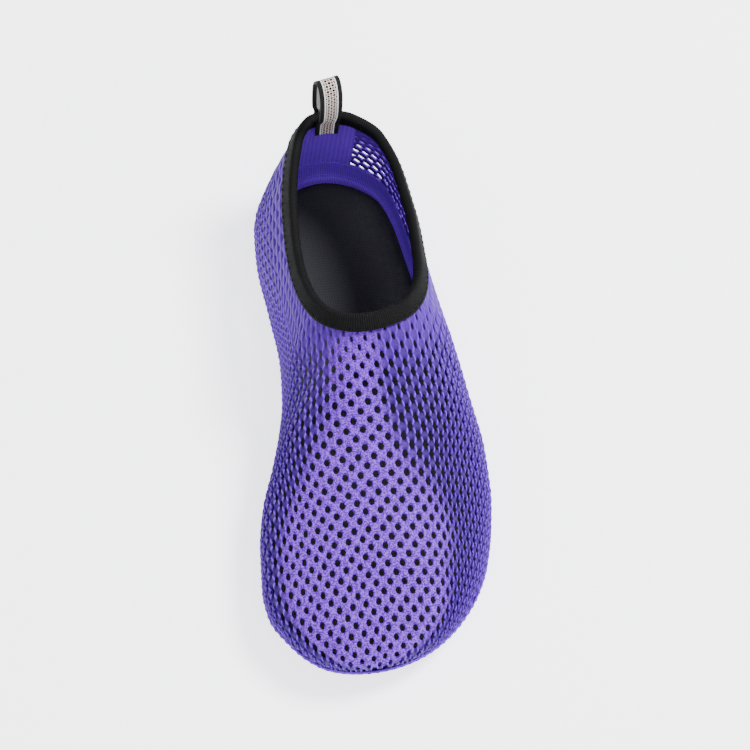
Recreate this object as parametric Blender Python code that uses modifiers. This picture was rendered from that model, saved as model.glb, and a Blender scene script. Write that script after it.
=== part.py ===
# Left water shoe: a stretch-mesh sock with a thin rubber sole, an insole, a folded collar binding
# and a pull loop at the heel. Metres, +Z up, toe toward -Y, heel toward +Y, lateral side toward +X.
# The upper's outer surface is one function of station, side and height, and every piece that
# touches the upper is worked out from that function.

import math

import bmesh
import bpy
import numpy as np

# Driving sizes
SHOE_LENGTH = 0.247         # toe tip to heel back of the upper
BALL_WIDTH = 0.104          # medial to lateral at the ball
INSTEP_HEIGHT = 0.064       # crest at the front of the collar, above the ground
COLLAR_HEIGHT = 0.063       # collar's edge at the back of the heel
SOLE_THICKNESS = 0.0038     # ground face to the upper's underside
TOE_SPRING = 0.0055         # lift of the sole under the toe tip
ARCH_RISE = 0.0022          # lift of the sole under the waist
HEEL_RISE = 0.0020          # lift of the sole under the heel's back edge
WALL = 0.0015               # thickness of the mesh fabric
GAP = 0.0003                # clearance between pieces that touch
INSOLE_THICKNESS = 0.0022
CURVED_GAP = 0.0005         # the same where both pieces are curved and cut into facets
BINDING_THICKNESS = 0.0010
BINDING_DROP = 0.0062       # how far the outer fold reaches down from the collar's edge
TAPE_WIDTH = 0.0105         # pull loop
TAPE_THICKNESS = 0.0011
LOOP_HEIGHT = 0.0255        # collar's edge to the top of the loop

# The form of the last. Station is a share of the length from the toe; centre, medial, lateral and
# lean are shares of the ball width, widest and rise of the instep height. Widest is the height of
# the widest line over the upper's underside, rise the crest's height over the widest line, lean
# the crest's shift toward the lateral side, and fullness the exponent of the section's arch: over
# two it is boxier than an ellipse, under two its walls lean in sooner.
LAST_COLUMNS = ("station", "centre", "medial", "lateral", "widest", "rise", "lean", "fullness")
LAST_ROWS = (
    (0.000, -0.100, 0.000, 0.000, 0.118, 0.000, 0.000, 2.25),
    (0.015, -0.092, 0.186, 0.183, 0.118, 0.113, -0.010, 2.25),
    (0.035, -0.078, 0.268, 0.262, 0.120, 0.173, -0.020, 2.25),
    (0.070, -0.050, 0.367, 0.335, 0.124, 0.232, -0.030, 2.25),
    (0.120, -0.021, 0.461, 0.399, 0.132, 0.288, -0.035, 2.22),
    (0.170, -0.005, 0.490, 0.440, 0.142, 0.328, -0.035, 2.18),
    (0.240, 0.000, 0.484, 0.480, 0.155, 0.347, -0.035, 2.12),
    (0.310, 0.000, 0.456, 0.503, 0.165, 0.388, -0.030, 2.05),
    (0.380, 0.000, 0.398, 0.506, 0.175, 0.458, -0.025, 2.00),
    (0.450, 0.000, 0.348, 0.488, 0.185, 0.560, -0.012, 1.90),
    (0.520, 0.000, 0.312, 0.463, 0.195, 0.665, 0.010, 1.80),
    (0.600, 0.000, 0.300, 0.432, 0.205, 0.790, 0.015, 1.70),
    (0.700, 0.000, 0.318, 0.392, 0.215, 0.920, 0.045, 1.58),
    (0.800, 0.000, 0.340, 0.355, 0.225, 0.930, 0.085, 1.48),
    (0.880, 0.000, 0.331, 0.325, 0.230, 0.930, 0.088, 1.46),
    (0.940, 0.000, 0.272, 0.278, 0.235, 0.930, 0.062, 1.54),
    (0.980, 0.000, 0.168, 0.175, 0.240, 0.800, 0.020, 1.75),
    (1.000, 0.000, 0.000, 0.000, 0.240, 0.000, 0.000, 2.00),
)
EDGE_FULLNESS = 5.0         # exponent of the section below the widest line: a tight feather edge
END_ROUND = 0.090           # share of the length over which the underside rises at toe and heel
TIP = 1e-5                  # smallest station read, since the sizes are zero at the tips

# Collar's edge seen from the side: station, and height as a share of the collar height
COLLAR_ROWS = (
    (0.520, 1.100),
    (0.560, 1.050),
    (0.600, 0.980),
    (0.650, 0.915),
    (0.700, 0.875),
    (0.760, 0.858),
    (0.830, 0.872),
    (0.900, 0.920),
    (0.960, 0.975),
    (1.000, 1.000),
)

# Sole's outline and profile
SOLE_SHARE = 0.945          # sole's half width as a share of the last's
SOLE_END_INSET = 0.0030     # sole's tips, in from the last's tips
SPRING_END = 0.22           # station where the toe spring meets the ground
ARCH_START = 0.46
ARCH_END = 0.70
HEEL_RISE_START = 0.92
SOLE_STEP = 0.0008          # step in the sole's side
STEP_SHARE = 0.55           # step's height as a share of the side
TOE_OF_SIDE = 0.0012        # rounding at the sole's lower edge

# Tread
GROOVE_DEPTH = 0.0015
GROOVE_WIDTH = 0.0030
GROOVE_PITCH = 0.0098
GROOVE_MARGIN = 0.0055      # rim left along the sole's edge
ZIGZAG = 0.0026             # wave of a groove along the length
ZIGZAG_STEP = 0.0085        # width of one straight run of the zigzag
FOREFOOT_TREAD = (0.07, 0.46)
HEEL_TREAD = (0.70, 0.955)

RIM_WIDTH = 0.0070          # turned-in rim of the upper, in from the sole's edge
INSOLE_SHARE = 0.88         # insole's half width as a share of the last's
INSOLE_END_INSET = 0.0060

# Pull loop from the side: height over the collar's edge as a share of the loop's height, and
# half its depth as a share of the full bulge
LOOP_ROWS = (
    (-0.42, 0.66),
    (-0.21, 0.66),
    (0.00, 0.70),
    (0.12, 0.87),
    (0.30, 0.98),
    (0.50, 1.00),
    (0.70, 0.93),
    (0.86, 0.70),
    (0.96, 0.38),
    (1.00, 0.00),
)
LOOP_BULGE = 0.0050         # half the loop's depth at its fullest
LOOP_LEAN = math.radians(10)
LOOP_TURN = math.radians(12)  # the free part turns a little toward the medial side
LOOP_COLUMNS = 4
LOOP_FREE_FROM = 0.12       # share of the loop's height where it no longer follows the collar

# Collar binding's fold
BINDING_INNER_SHARE = 0.85  # the inner fold's drop as a share of the outer fold's
FOLD_SHOULDER = (0.35, 0.75)  # rounded shoulder, in and up, as shares of the binding's reach
FOLD_CREST = 1.1            # fold's top over the collar's edge, as a share of the same

# How finely the curved pieces are cut into facets
LAST_STATIONS = 44
LAST_ARCH_STEPS = 22
LAST_EDGE_STEPS = 12
PLATE_STATIONS = 34
PLATE_COLUMNS = 10
COLLAR_STEPS = 56
COLLAR_DENSE = 400
NEAR_EDGE = 0.999           # share of a width or of the length read just short of its end
SLOPE_STEP = 2e-5           # distance over which the form's slopes are read
END_STEP = 1e-4             # the same at the tips, as a share of the length
ALONG_STEP = 0.002          # distance over which the collar's direction is read
ONTO_ROUNDS = 8             # rounds that bring a point onto the form
CUTTER_REACH = 4            # how far the collar cutter spans the wall, in walls
CUTTER_TOP = 2.5            # its height, in collar heights
OPENING_TOP = 2.5           # how far the opening cutter rises over the underside, in walls


def monotone_cubic(xs, ys, at):
    """Cubic through the points that keeps their rises and falls, read at the given places."""
    steps = np.diff(xs)
    slopes = np.diff(ys) / steps
    tangents = np.empty_like(ys)
    tangents[0] = slopes[0]
    tangents[-1] = slopes[-1]
    product = slopes[:-1] * slopes[1:]
    total = slopes[:-1] + slopes[1:]
    safe = np.where(total == 0, 1.0, total)
    tangents[1:-1] = np.where(product > 0, 2 * product / safe, 0.0)
    left = np.clip(np.searchsorted(xs, at, side="right") - 1, 0, len(steps) - 1)
    t = (at - xs[left]) / steps[left]
    rise = steps[left]
    return (
        (2 * t**3 - 3 * t**2 + 1) * ys[left]
        + (t**3 - 2 * t**2 + t) * rise * tangents[left]
        + (3 * t**2 - 2 * t**3) * ys[left + 1]
        + (t**3 - t**2) * rise * tangents[left + 1]
    )


def last_sizes(stations):
    """The last's sizes in metres at the given stations, half widths and heights squared.

    Squares run straight into zero at the toe and the heel, so the form closes round there.
    """
    table = {name: np.array(column) for name, column in zip(LAST_COLUMNS, zip(*LAST_ROWS))}
    scale = {"centre": BALL_WIDTH, "lean": BALL_WIDTH, "widest": INSTEP_HEIGHT, "fullness": 1.0}
    squares = {"medial": BALL_WIDTH, "lateral": BALL_WIDTH, "rise": INSTEP_HEIGHT}
    sizes = {}
    stations = np.clip(stations, 0.0, 1.0)
    for name, unit in scale.items():
        sizes[name] = monotone_cubic(table["station"], table[name] * unit, stations)
    for name, unit in squares.items():
        sizes[name] = monotone_cubic(table["station"], (table[name] * unit) ** 2, stations)
    sizes["underside"] = ground(stations) + SOLE_THICKNESS + GAP
    nearest_end = np.minimum(stations, 1 - stations) / END_ROUND
    closing = (1 - (1 - np.clip(nearest_end, 0, 1)) ** EDGE_FULLNESS) ** (2 / EDGE_FULLNESS)
    sizes["drop"] = sizes["widest"] ** 2 * closing
    sizes["widest_height"] = sizes["underside"] + sizes["widest"]
    return sizes


def ground(stations):
    """Height of the sole's ground face: toe spring, arch and the heel's back edge."""
    toe = TOE_SPRING * np.clip(1 - stations / SPRING_END, 0, 1) ** 2
    waist = np.clip((stations - ARCH_START) / (ARCH_END - ARCH_START), 0, 1)
    heel = np.clip((stations - HEEL_RISE_START) / (1 - HEEL_RISE_START), 0, 1)
    return toe + ARCH_RISE * np.sin(math.pi * waist) ** 2 + HEEL_RISE * heel**2


def station_of(y):
    return y / SHOE_LENGTH + 0.5


def place_of(stations):
    return (stations - 0.5) * SHOE_LENGTH


def last_section(station, arch_angles, edge_angles):
    """Closed section of the last: an arch over the widest line and a flat edge curve under it."""
    size = {name: float(value[0]) for name, value in last_sizes(np.array([station])).items()}
    points = []
    for angle in list(arch_angles) + list(edge_angles):
        above = angle <= math.pi
        rising = size["fullness"] if above else EDGE_FULLNESS
        across = math.copysign(abs(math.cos(angle)) ** (2 / max(2.0, rising)), math.cos(angle))
        height = abs(math.sin(angle)) ** (2 / rising)
        half = math.sqrt(size["lateral"] if across > 0 else size["medial"])
        reach = math.sqrt(size["rise"]) if above else -math.sqrt(size["drop"])
        shift = size["lean"] * height if above else 0.0
        points.append((
            size["centre"] + shift + half * across,
            place_of(station),
            size["widest_height"] + reach * height,
        ))
    return points


def form_value(points):
    """Below zero inside the last, zero on its surface and above zero outside."""
    stations = station_of(points[:, 1])
    inside = np.clip(stations, TIP, 1 - TIP)
    size = last_sizes(inside)
    height = points[:, 2] - size["widest_height"]
    above = height > 0
    climb = np.clip(height / np.sqrt(size["rise"]), 0, 1)
    across = points[:, 0] - size["centre"] - size["lean"] * climb
    side = np.where(across < 0, size["medial"], size["lateral"])
    reach = np.where(above, size["rise"], size["drop"])
    rising = np.where(above, size["fullness"], EDGE_FULLNESS)
    crossing = np.maximum(2.0, rising)
    mean = (size["medial"] + size["lateral"]) / 2
    arch = (across**2 / side) ** (crossing / 2) + (height**2 / reach) ** (rising / 2)
    slope = np.where(stations > 0.5, -1.0, 1.0) * end_slope()
    return (arch ** (4 / (rising + crossing)) - 1) * mean - slope * (stations - inside)


def end_slope():
    """How fast the squared half width grows with the station at the two ends."""
    ends = last_sizes(np.array([END_STEP, 1 - END_STEP]))
    return (ends["medial"] + ends["lateral"]).mean() / 2 / END_STEP


def form_normal(points):
    """Unit normals of the last's surface, from the form's own slopes."""
    slopes = []
    for axis in np.eye(3) * SLOPE_STEP:
        slopes.append(form_value(points + axis) - form_value(points - axis))
    normals = np.stack(slopes, axis=1)
    length = np.linalg.norm(normals, axis=1, keepdims=True)
    return normals / length, length[:, 0] / (2 * SLOPE_STEP)


def onto_form(points):
    """Moves points along the form's slope until they lie on the last's surface."""
    for _ in range(ONTO_ROUNDS):
        normals, steepness = form_normal(points)
        points = points - normals * (form_value(points) / steepness)[:, None]
    return points


def underside_height(x, y):
    """Height of the upper's underside over a place in plan."""
    size = last_sizes(np.clip(station_of(y), TIP, 1 - TIP))
    across = x - size["centre"]
    half = np.sqrt(np.where(across < 0, size["medial"], size["lateral"]))
    share = np.clip(np.abs(across) / half, 0, NEAR_EDGE)
    return size["widest_height"] - np.sqrt(size["drop"]) * (1 - share**EDGE_FULLNESS) ** (
        1 / EDGE_FULLNESS
    )


def seat_height(x, y, clearance):
    """Height that stays the clearance under the upper's underside, or over it if negative."""
    step = WALL / 4
    slope_x = (underside_height(x + step, y) - underside_height(x - step, y)) / (2 * step)
    slope_y = (underside_height(x, y + step) - underside_height(x, y - step)) / (2 * step)
    return underside_height(x, y) - clearance * np.sqrt(1 + slope_x**2 + slope_y**2)


def collar_line(count):
    """Points, normals and downward directions evenly along the collar's edge, from the throat
    round the medial side to the heel and back along the lateral side."""
    table = np.array(COLLAR_ROWS)
    stations = np.linspace(table[0, 0], NEAR_EDGE, COLLAR_DENSE)
    size = last_sizes(stations)
    edge = COLLAR_HEIGHT * monotone_cubic(table[:, 0], table[:, 1], stations)
    over = size["widest_height"] + np.sqrt(size["rise"]) - edge
    open_part = np.nonzero(over > 0)[0]
    first, last = open_part[0], open_part[-1]
    front = np.interp(0.0, over[first - 1:first + 1], stations[first - 1:first + 1])
    back = np.interp(0.0, over[last:last + 2][::-1], stations[last:last + 2][::-1])
    turn = np.linspace(0, math.pi, COLLAR_DENSE)
    along = front + (back - front) * (1 - np.cos(turn)) / 2
    size = last_sizes(along)
    edge = COLLAR_HEIGHT * monotone_cubic(table[:, 0], table[:, 1], along)
    climb = np.clip((edge - size["widest_height"]) / np.sqrt(size["rise"]), 0, 1)
    width = (1 - climb ** size["fullness"]) ** (1 / np.maximum(2.0, size["fullness"]))
    middle = size["centre"] + size["lean"] * climb
    medial = np.stack([middle - np.sqrt(size["medial"]) * width, place_of(along), edge], axis=1)
    lateral = np.stack([middle + np.sqrt(size["lateral"]) * width, place_of(along), edge], axis=1)
    loop = np.vstack([medial, lateral[-2:0:-1], medial[:1]])
    length = np.concatenate([[0.0], np.cumsum(np.linalg.norm(np.diff(loop, axis=0), axis=1))])
    heel = length[COLLAR_DENSE - 1]
    even = np.linspace(0, length[-1], count, endpoint=False)
    return collar_frames(loop, length, even), heel, loop, length


def collar_frames(loop, length, places):
    """Point, outward normal and downward direction of the collar's edge at lengths along it."""
    total = length[-1]

    def at(value):
        value = np.mod(value, total)
        return np.stack([np.interp(value, length, loop[:, axis]) for axis in range(3)], axis=1)

    points = onto_form(at(places))
    tangent = at(places + ALONG_STEP) - at(places - ALONG_STEP)
    tangent /= np.linalg.norm(tangent, axis=1, keepdims=True)
    normals, _ = form_normal(points)
    down = np.cross(tangent, normals)
    down /= np.linalg.norm(down, axis=1, keepdims=True)
    down *= np.where(down[:, 2:] > 0, -1.0, 1.0)
    return points, normals, down


def wall_points(frames, drop, offset):
    """Points that lie drop below the collar's edge along the wall and offset out from it."""
    points, normals, down = frames
    if drop <= 0:
        return points + normals * offset + down * drop
    onto = onto_form(points + down * drop)
    outward, _ = form_normal(onto)
    return onto + outward * offset


def outline(width_share, end_inset, inward=0.0):
    """Plan outline: medial side from toe to heel, then the lateral side back to the toe."""
    shares = (1 - np.cos(np.linspace(0, math.pi, PLATE_STATIONS + 1))) / 2
    size = last_sizes(shares)
    y = place_of(0.0) + end_inset + shares * (SHOE_LENGTH - 2 * end_inset)
    medial = np.stack([size["centre"] - width_share * np.sqrt(size["medial"]), y], axis=1)
    lateral = np.stack([size["centre"] + width_share * np.sqrt(size["lateral"]), y], axis=1)
    ring = np.vstack([medial, lateral[-2:0:-1]])
    along = np.roll(ring, -1, axis=0) - np.roll(ring, 1, axis=0)
    along /= np.linalg.norm(along, axis=1, keepdims=True)
    inner_side = np.stack([-along[:, 1], along[:, 0]], axis=1)
    if (inner_side[PLATE_STATIONS // 2] * (lateral - medial)[PLATE_STATIONS // 2]).sum() < 0:
        inner_side = -inner_side
    return ring + inward * inner_side


def raised(ring, heights):
    return np.column_stack([ring, heights])


def ladder(first, count, columns, ring, surface):
    """Vertices and faces that close a ring with rungs from its medial to its lateral side."""
    rungs = PLATE_STATIONS - 1
    shares = np.sin(np.linspace(-1, 1, columns + 1)[1:-1] * math.pi / 2) / 2 + 0.5
    medial = ring[1:rungs + 1, :2]
    lateral = ring[:rungs + 1:-1, :2]
    plan = medial[:, None] + (lateral - medial)[:, None] * shares[:, None]
    plan = plan.reshape(-1, 2)
    vertices = raised(plan, surface(plan[:, 0], plan[:, 1]))
    rows = [[first] * (columns + 1)]
    for rung in range(rungs):
        inner = [count + rung * (columns - 1) + column for column in range(columns - 1)]
        rows.append([first + rung + 1] + inner + [first + 2 * PLATE_STATIONS - 1 - rung])
    rows.append([first + PLATE_STATIONS] * (columns + 1))
    faces = []
    for lower, upper in zip(rows, rows[1:]):
        for column in range(columns):
            corners = [lower[column], lower[column + 1], upper[column + 1], upper[column]]
            faces.append(list(dict.fromkeys(corners)))
    return vertices, faces


def plate(name, rings, columns, under, over):
    """Closed body from stacked plan rings, closed below and above by the two surfaces."""
    size = len(rings[0])
    vertices = [np.vstack(rings)]
    faces = bridge(len(rings), size, closed_stack=False)
    below, below_faces = ladder(0, len(rings) * size, columns, rings[0], under)
    vertices.append(below)
    start = len(rings) * size + len(below)
    above, above_faces = ladder((len(rings) - 1) * size, start, columns, rings[-1], over)
    vertices.append(above)
    return body(name, np.vstack(vertices), faces + below_faces + above_faces)


def bridge(sections, size, closed_stack):
    """Quads between consecutive closed sections of the same number of points."""
    faces = []
    for section in range(sections if closed_stack else sections - 1):
        ahead = (section + 1) % sections
        for index in range(size):
            beside = (index + 1) % size
            faces.append([
                section * size + index,
                section * size + beside,
                ahead * size + beside,
                ahead * size + index,
            ])
    return faces


def body(name, vertices, faces):
    """Object with the given faces, turned to point outward."""
    mesh = bpy.data.meshes.new(name)
    mesh.from_pydata([tuple(vertex) for vertex in vertices], [], faces)
    shape = bmesh.new()
    shape.from_mesh(mesh)
    bmesh.ops.recalc_face_normals(shape, faces=shape.faces)
    shape.to_mesh(mesh)
    shape.free()
    mesh.shade_smooth()
    piece = bpy.data.objects.new(name, mesh)
    return piece


def finish(piece, colour, roughness, metallic=0.0):
    material = bpy.data.materials.new(piece.name)
    material.use_nodes = True
    shader = material.node_tree.nodes["Principled BSDF"]
    shader.inputs["Base Color"].default_value = (*colour, 1.0)
    shader.inputs["Roughness"].default_value = roughness
    shader.inputs["Metallic"].default_value = metallic
    piece.data.materials.append(material)
    parts.objects.link(piece)
    return piece


def cut(piece, cutter):
    cutter.hide_render = True
    cutter.display_type = "WIRE"
    cutters.objects.link(cutter)
    modifier = piece.modifiers.new("Cut " + cutter.name, "BOOLEAN")
    modifier.operation = "DIFFERENCE"
    modifier.solver = "EXACT"
    modifier.object = cutter


def make_upper():
    """Hollow sock from the last's sections, cut open at the collar and underneath."""
    shares = (1 - np.cos(np.linspace(0, math.pi, LAST_STATIONS + 1))) / 2
    arch = np.linspace(0, math.pi, LAST_ARCH_STEPS + 1)
    edge = np.linspace(math.pi, 2 * math.pi, LAST_EDGE_STEPS + 1)[1:-1]
    sections = [last_section(share, arch, edge) for share in shares[1:-1]]
    size = len(sections[0])
    tips = last_sizes(np.array([0.0, 1.0]))
    tip_points = np.column_stack([tips["centre"], place_of(np.array([0.0, 1.0])),
                                  tips["widest_height"]])
    faces = bridge(len(sections), size, closed_stack=False)
    toe = len(sections) * size
    last_ring = toe - size
    for index in range(size):
        beside = (index + 1) % size
        faces.append([toe, beside, index])
        faces.append([toe + 1, last_ring + index, last_ring + beside])
    upper = body("upper", np.vstack([np.vstack(sections), tip_points]), faces)
    wall = upper.modifiers.new("Wall", "SOLIDIFY")
    wall.thickness = WALL
    wall.offset = -1.0
    wall.use_even_offset = True
    cut(upper, collar_cutter())
    cut(upper, opening_cutter())
    return finish(upper, (0.17, 0.09, 0.60), 0.75)


def collar_cutter():
    """Body over the collar's edge whose lower face crosses the wall square to it."""
    reach = CUTTER_REACH * WALL
    lid_height = CUTTER_TOP * COLLAR_HEIGHT
    (points, normals, down), _, _, _ = collar_line(COLLAR_STEPS)
    inner = points - normals * reach
    outer = points + normals * reach
    top = outer.copy()
    top[:, 2] = lid_height
    low_centre = inner.mean(axis=0)
    low_centre[2] = inner[:, 2].min() - reach
    high_centre = np.array([low_centre[0], low_centre[1], lid_height])
    rings = [inner, outer, top]
    faces = bridge(len(rings), COLLAR_STEPS, closed_stack=False)
    low = len(rings) * COLLAR_STEPS
    for index in range(COLLAR_STEPS):
        beside = (index + 1) % COLLAR_STEPS
        faces.append([low, beside, index])
        last = (len(rings) - 1) * COLLAR_STEPS
        faces.append([low + 1, last + index, last + beside])
    return body("collar cutter", np.vstack(rings + [low_centre, high_centre]), faces)


def opening_cutter():
    """Upright prism through the upper's underside, a rim's width in from the sole's edge."""
    ring = outline(SOLE_SHARE, SOLE_END_INSET, RIM_WIDTH)
    low = -SOLE_THICKNESS
    lift = SOLE_THICKNESS + GAP + OPENING_TOP * WALL
    lid = raised(ring, ground(station_of(ring[:, 1])) + lift)
    return plate(
        "opening cutter",
        [raised(ring, np.full(len(ring), low)), lid],
        2,
        lambda x, y: np.full(len(x), low),
        lambda x, y: ground(station_of(y)) + lift,
    )


def make_outsole():
    """Rubber sole: toe spring, arch, a step in its side, a cupped top and a grooved tread."""
    def level(inward, share):
        ring = outline(SOLE_SHARE, SOLE_END_INSET, inward)
        base = ground(station_of(ring[:, 1]))
        top = seat_height(ring[:, 0], ring[:, 1], CURVED_GAP)
        return raised(ring, base + (top - base) * share)

    rounding = TOE_OF_SIDE / SOLE_THICKNESS
    rings = [
        level(SOLE_STEP + TOE_OF_SIDE, 0.0),
        level(SOLE_STEP + TOE_OF_SIDE / 4, rounding / 2),
        level(SOLE_STEP, STEP_SHARE),
        level(0.0, STEP_SHARE + rounding / 3),
        level(0.0, 1.0),
    ]
    outsole = plate(
        "outsole",
        rings,
        PLATE_COLUMNS,
        lambda x, y: ground(station_of(y)),
        lambda x, y: seat_height(x, y, CURVED_GAP),
    )
    cut(outsole, tread_cutter())
    return finish(outsole, (0.02, 0.02, 0.022), 0.6)


def tread_cutter():
    """Zigzag grooves across the forefoot and the heel, each a band sunk into the ground face."""
    vertices = []
    faces = []
    for start, end in (FOREFOOT_TREAD, HEEL_TREAD):
        count = int((end - start) * SHOE_LENGTH / GROOVE_PITCH)
        for place in np.linspace(start, end, count + 1):
            add_groove(place, vertices, faces)
    return body("tread cutter", vertices, faces)


def add_groove(station, vertices, faces):
    size = {name: float(value[0]) for name, value in last_sizes(np.array([station])).items()}
    left = size["centre"] - SOLE_SHARE * math.sqrt(size["medial"]) + GROOVE_MARGIN
    right = size["centre"] + SOLE_SHARE * math.sqrt(size["lateral"]) - GROOVE_MARGIN
    runs = max(2, round((right - left) / ZIGZAG_STEP))
    first = len(vertices)
    top = float(ground(np.array([station]))[0]) + GROOVE_DEPTH
    for run in range(runs + 1):
        x = left + (right - left) * run / runs
        y = place_of(station) + (ZIGZAG if run % 2 else 0.0) - ZIGZAG / 2
        for side in (-0.5, 0.5):
            for z in (-SOLE_THICKNESS, top):
                vertices.append((x, y + side * GROOVE_WIDTH, z))
    for run in range(runs):
        a = first + 4 * run
        b = a + 4
        faces += [[a, a + 1, b + 1, b], [a + 2, b + 2, b + 3, a + 3]]
        faces += [[a, b, b + 2, a + 2], [a + 1, a + 3, b + 3, b + 1]]
    far = first + 4 * runs
    faces += [[first, first + 2, first + 3, first + 1], [far, far + 1, far + 3, far + 2]]


def make_insole():
    """Foam board on the turned-in rim, with a step that fills the opening in the rim."""
    plug = outline(SOLE_SHARE, SOLE_END_INSET, RIM_WIDTH + CURVED_GAP)
    board = outline(INSOLE_SHARE, INSOLE_END_INSET)
    bevel = INSOLE_THICKNESS / 3
    board_top = outline(INSOLE_SHARE, INSOLE_END_INSET, bevel)
    lift = WALL + CURVED_GAP

    def over_rim(ring, extra):
        seat = seat_height(ring[:, 0], ring[:, 1], -lift if extra else 0.0)
        return raised(ring, seat + max(0.0, extra - lift))

    insole = plate(
        "insole",
        [
            over_rim(plug, 0.0),
            over_rim(plug, lift),
            over_rim(board, lift),
            over_rim(board, lift + INSOLE_THICKNESS - bevel),
            over_rim(board_top, lift + INSOLE_THICKNESS),
        ],
        PLATE_COLUMNS // 2,
        underside_height,
        lambda x, y: underside_height(x, y) + lift + INSOLE_THICKNESS,
    )
    return finish(insole, (0.015, 0.015, 0.02), 0.9)


def make_binding():
    """Elastic tape folded over the collar's edge, clear of the wall by the gap."""
    frames, _, _, _ = collar_line(COLLAR_STEPS)
    skin = CURVED_GAP + BINDING_THICKNESS
    outer_far, outer_near = skin, CURVED_GAP
    inner_near, inner_far = -WALL - CURVED_GAP, -WALL - skin
    inner_drop = BINDING_DROP * BINDING_INNER_SHARE
    shoulder_in, shoulder_up = (skin * share for share in FOLD_SHOULDER)
    fold = [
        (outer_far, BINDING_DROP),
        (outer_far, BINDING_DROP / 2),
        (outer_far, 0.0),
        (outer_far - shoulder_in, -shoulder_up),
        (-WALL / 2, -skin * FOLD_CREST),
        (inner_far + shoulder_in, -shoulder_up),
        (inner_far, 0.0),
        (inner_far, inner_drop / 2),
        (inner_far, inner_drop),
        (inner_near, inner_drop),
        (inner_near, inner_drop / 2),
        (inner_near, -CURVED_GAP),
        (outer_near, -CURVED_GAP),
        (outer_near, BINDING_DROP / 2),
        (outer_near, BINDING_DROP),
    ]
    columns = [wall_points(frames, drop, offset) for offset, drop in fold]
    vertices = np.stack(columns, axis=1).reshape(-1, 3)
    binding = body("collar_binding", vertices, bridge(COLLAR_STEPS, len(fold), closed_stack=True))
    return finish(binding, (0.012, 0.012, 0.014), 0.6)


def make_pull_loop():
    """Woven tape folded over the collar at the heel: its legs follow the wall on both sides and
    the free part above the edge bulges, leans back and turns."""
    _, heel, loop, length = collar_line(COLLAR_STEPS)
    across = np.linspace(-0.5, 0.5, LOOP_COLUMNS + 1) * TAPE_WIDTH
    seats, _, _ = collar_frames(loop, length, heel + across)
    centre, back, down = (frame[0] for frame in collar_frames(loop, length, np.array([heel])))
    free_up = -down * math.cos(LOOP_LEAN) + back * math.sin(LOOP_LEAN)
    free_back = back * math.cos(LOOP_LEAN) + down * math.sin(LOOP_LEAN)
    side = np.cross(free_up, free_back)
    side *= math.copysign(1.0, ((seats[-1] - seats[0]) * side).sum())
    turned_side = side * math.cos(LOOP_TURN) + free_back * math.sin(LOOP_TURN) * np.sign(side[0])
    turned_back = np.cross(turned_side, free_up)
    turned_back *= math.copysign(1.0, (turned_back * back).sum())
    middle = -WALL / 2
    clear = CURVED_GAP + BINDING_THICKNESS + GAP + TAPE_THICKNESS / 2 - middle

    def tape_points(height, offset):
        if height <= 0:
            return onto_form(seats - np.outer(np.full(len(seats), height), down)) + back * offset
        follow = seats + back * offset - down * height
        free = centre + back * middle + turned_back * (offset - middle) + free_up * height
        free = free + across[:, None] * turned_side
        blend = min(1.0, height / (LOOP_FREE_FROM * LOOP_HEIGHT))
        return follow * (1 - blend) + free * blend

    rows = [(height * LOOP_HEIGHT, depth * LOOP_BULGE) for height, depth in LOOP_ROWS]
    half = [(height, max(depth, clear) if height <= 0 else depth) for height, depth in rows]
    path = [(height, middle + depth) for height, depth in half]
    path += [(height, middle - depth) for height, depth in half[-2::-1]]
    spine = np.array(path)
    along = np.gradient(spine, axis=0)
    along /= np.linalg.norm(along, axis=1, keepdims=True)
    thick = np.column_stack([-along[:, 1], along[:, 0]]) * TAPE_THICKNESS / 2
    closed = np.vstack([spine + thick, (spine - thick)[::-1]])
    columns = [tape_points(height, offset) for height, offset in closed]
    vertices = np.stack(columns, axis=1).reshape(-1, 3)
    size = len(closed)
    faces = bridge(LOOP_COLUMNS + 1, size, closed_stack=False)
    for start in (0, LOOP_COLUMNS * size):
        for index in range(size // 2 - 1):
            far = size - 1 - index
            faces.append([start + index, start + index + 1, start + far - 1, start + far])
    pull_loop = body("pull_loop", vertices, faces)
    return finish(pull_loop, (0.7, 0.68, 0.65), 0.7)


def centre_on_origin():
    """Moves the shoe so that the origin is under the middle of its bounding box."""
    plan = [vertex.co.xy for piece in parts.objects for vertex in piece.data.vertices]
    plan = np.array(plan)
    middle = (plan.min(axis=0) + plan.max(axis=0)) / 2
    for piece in list(parts.objects) + list(cutters.objects):
        piece.location = (-middle[0], -middle[1], 0.0)


for old in list(bpy.data.objects):
    bpy.data.objects.remove(old, do_unlink=True)

parts = bpy.data.collections.new("water_shoe")
cutters = bpy.data.collections.new("water_shoe_cutters")
bpy.context.scene.collection.children.link(parts)
bpy.context.scene.collection.children.link(cutters)

make_outsole()
make_upper()
make_insole()
make_binding()
make_pull_loop()
centre_on_origin()
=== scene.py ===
import math

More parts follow.
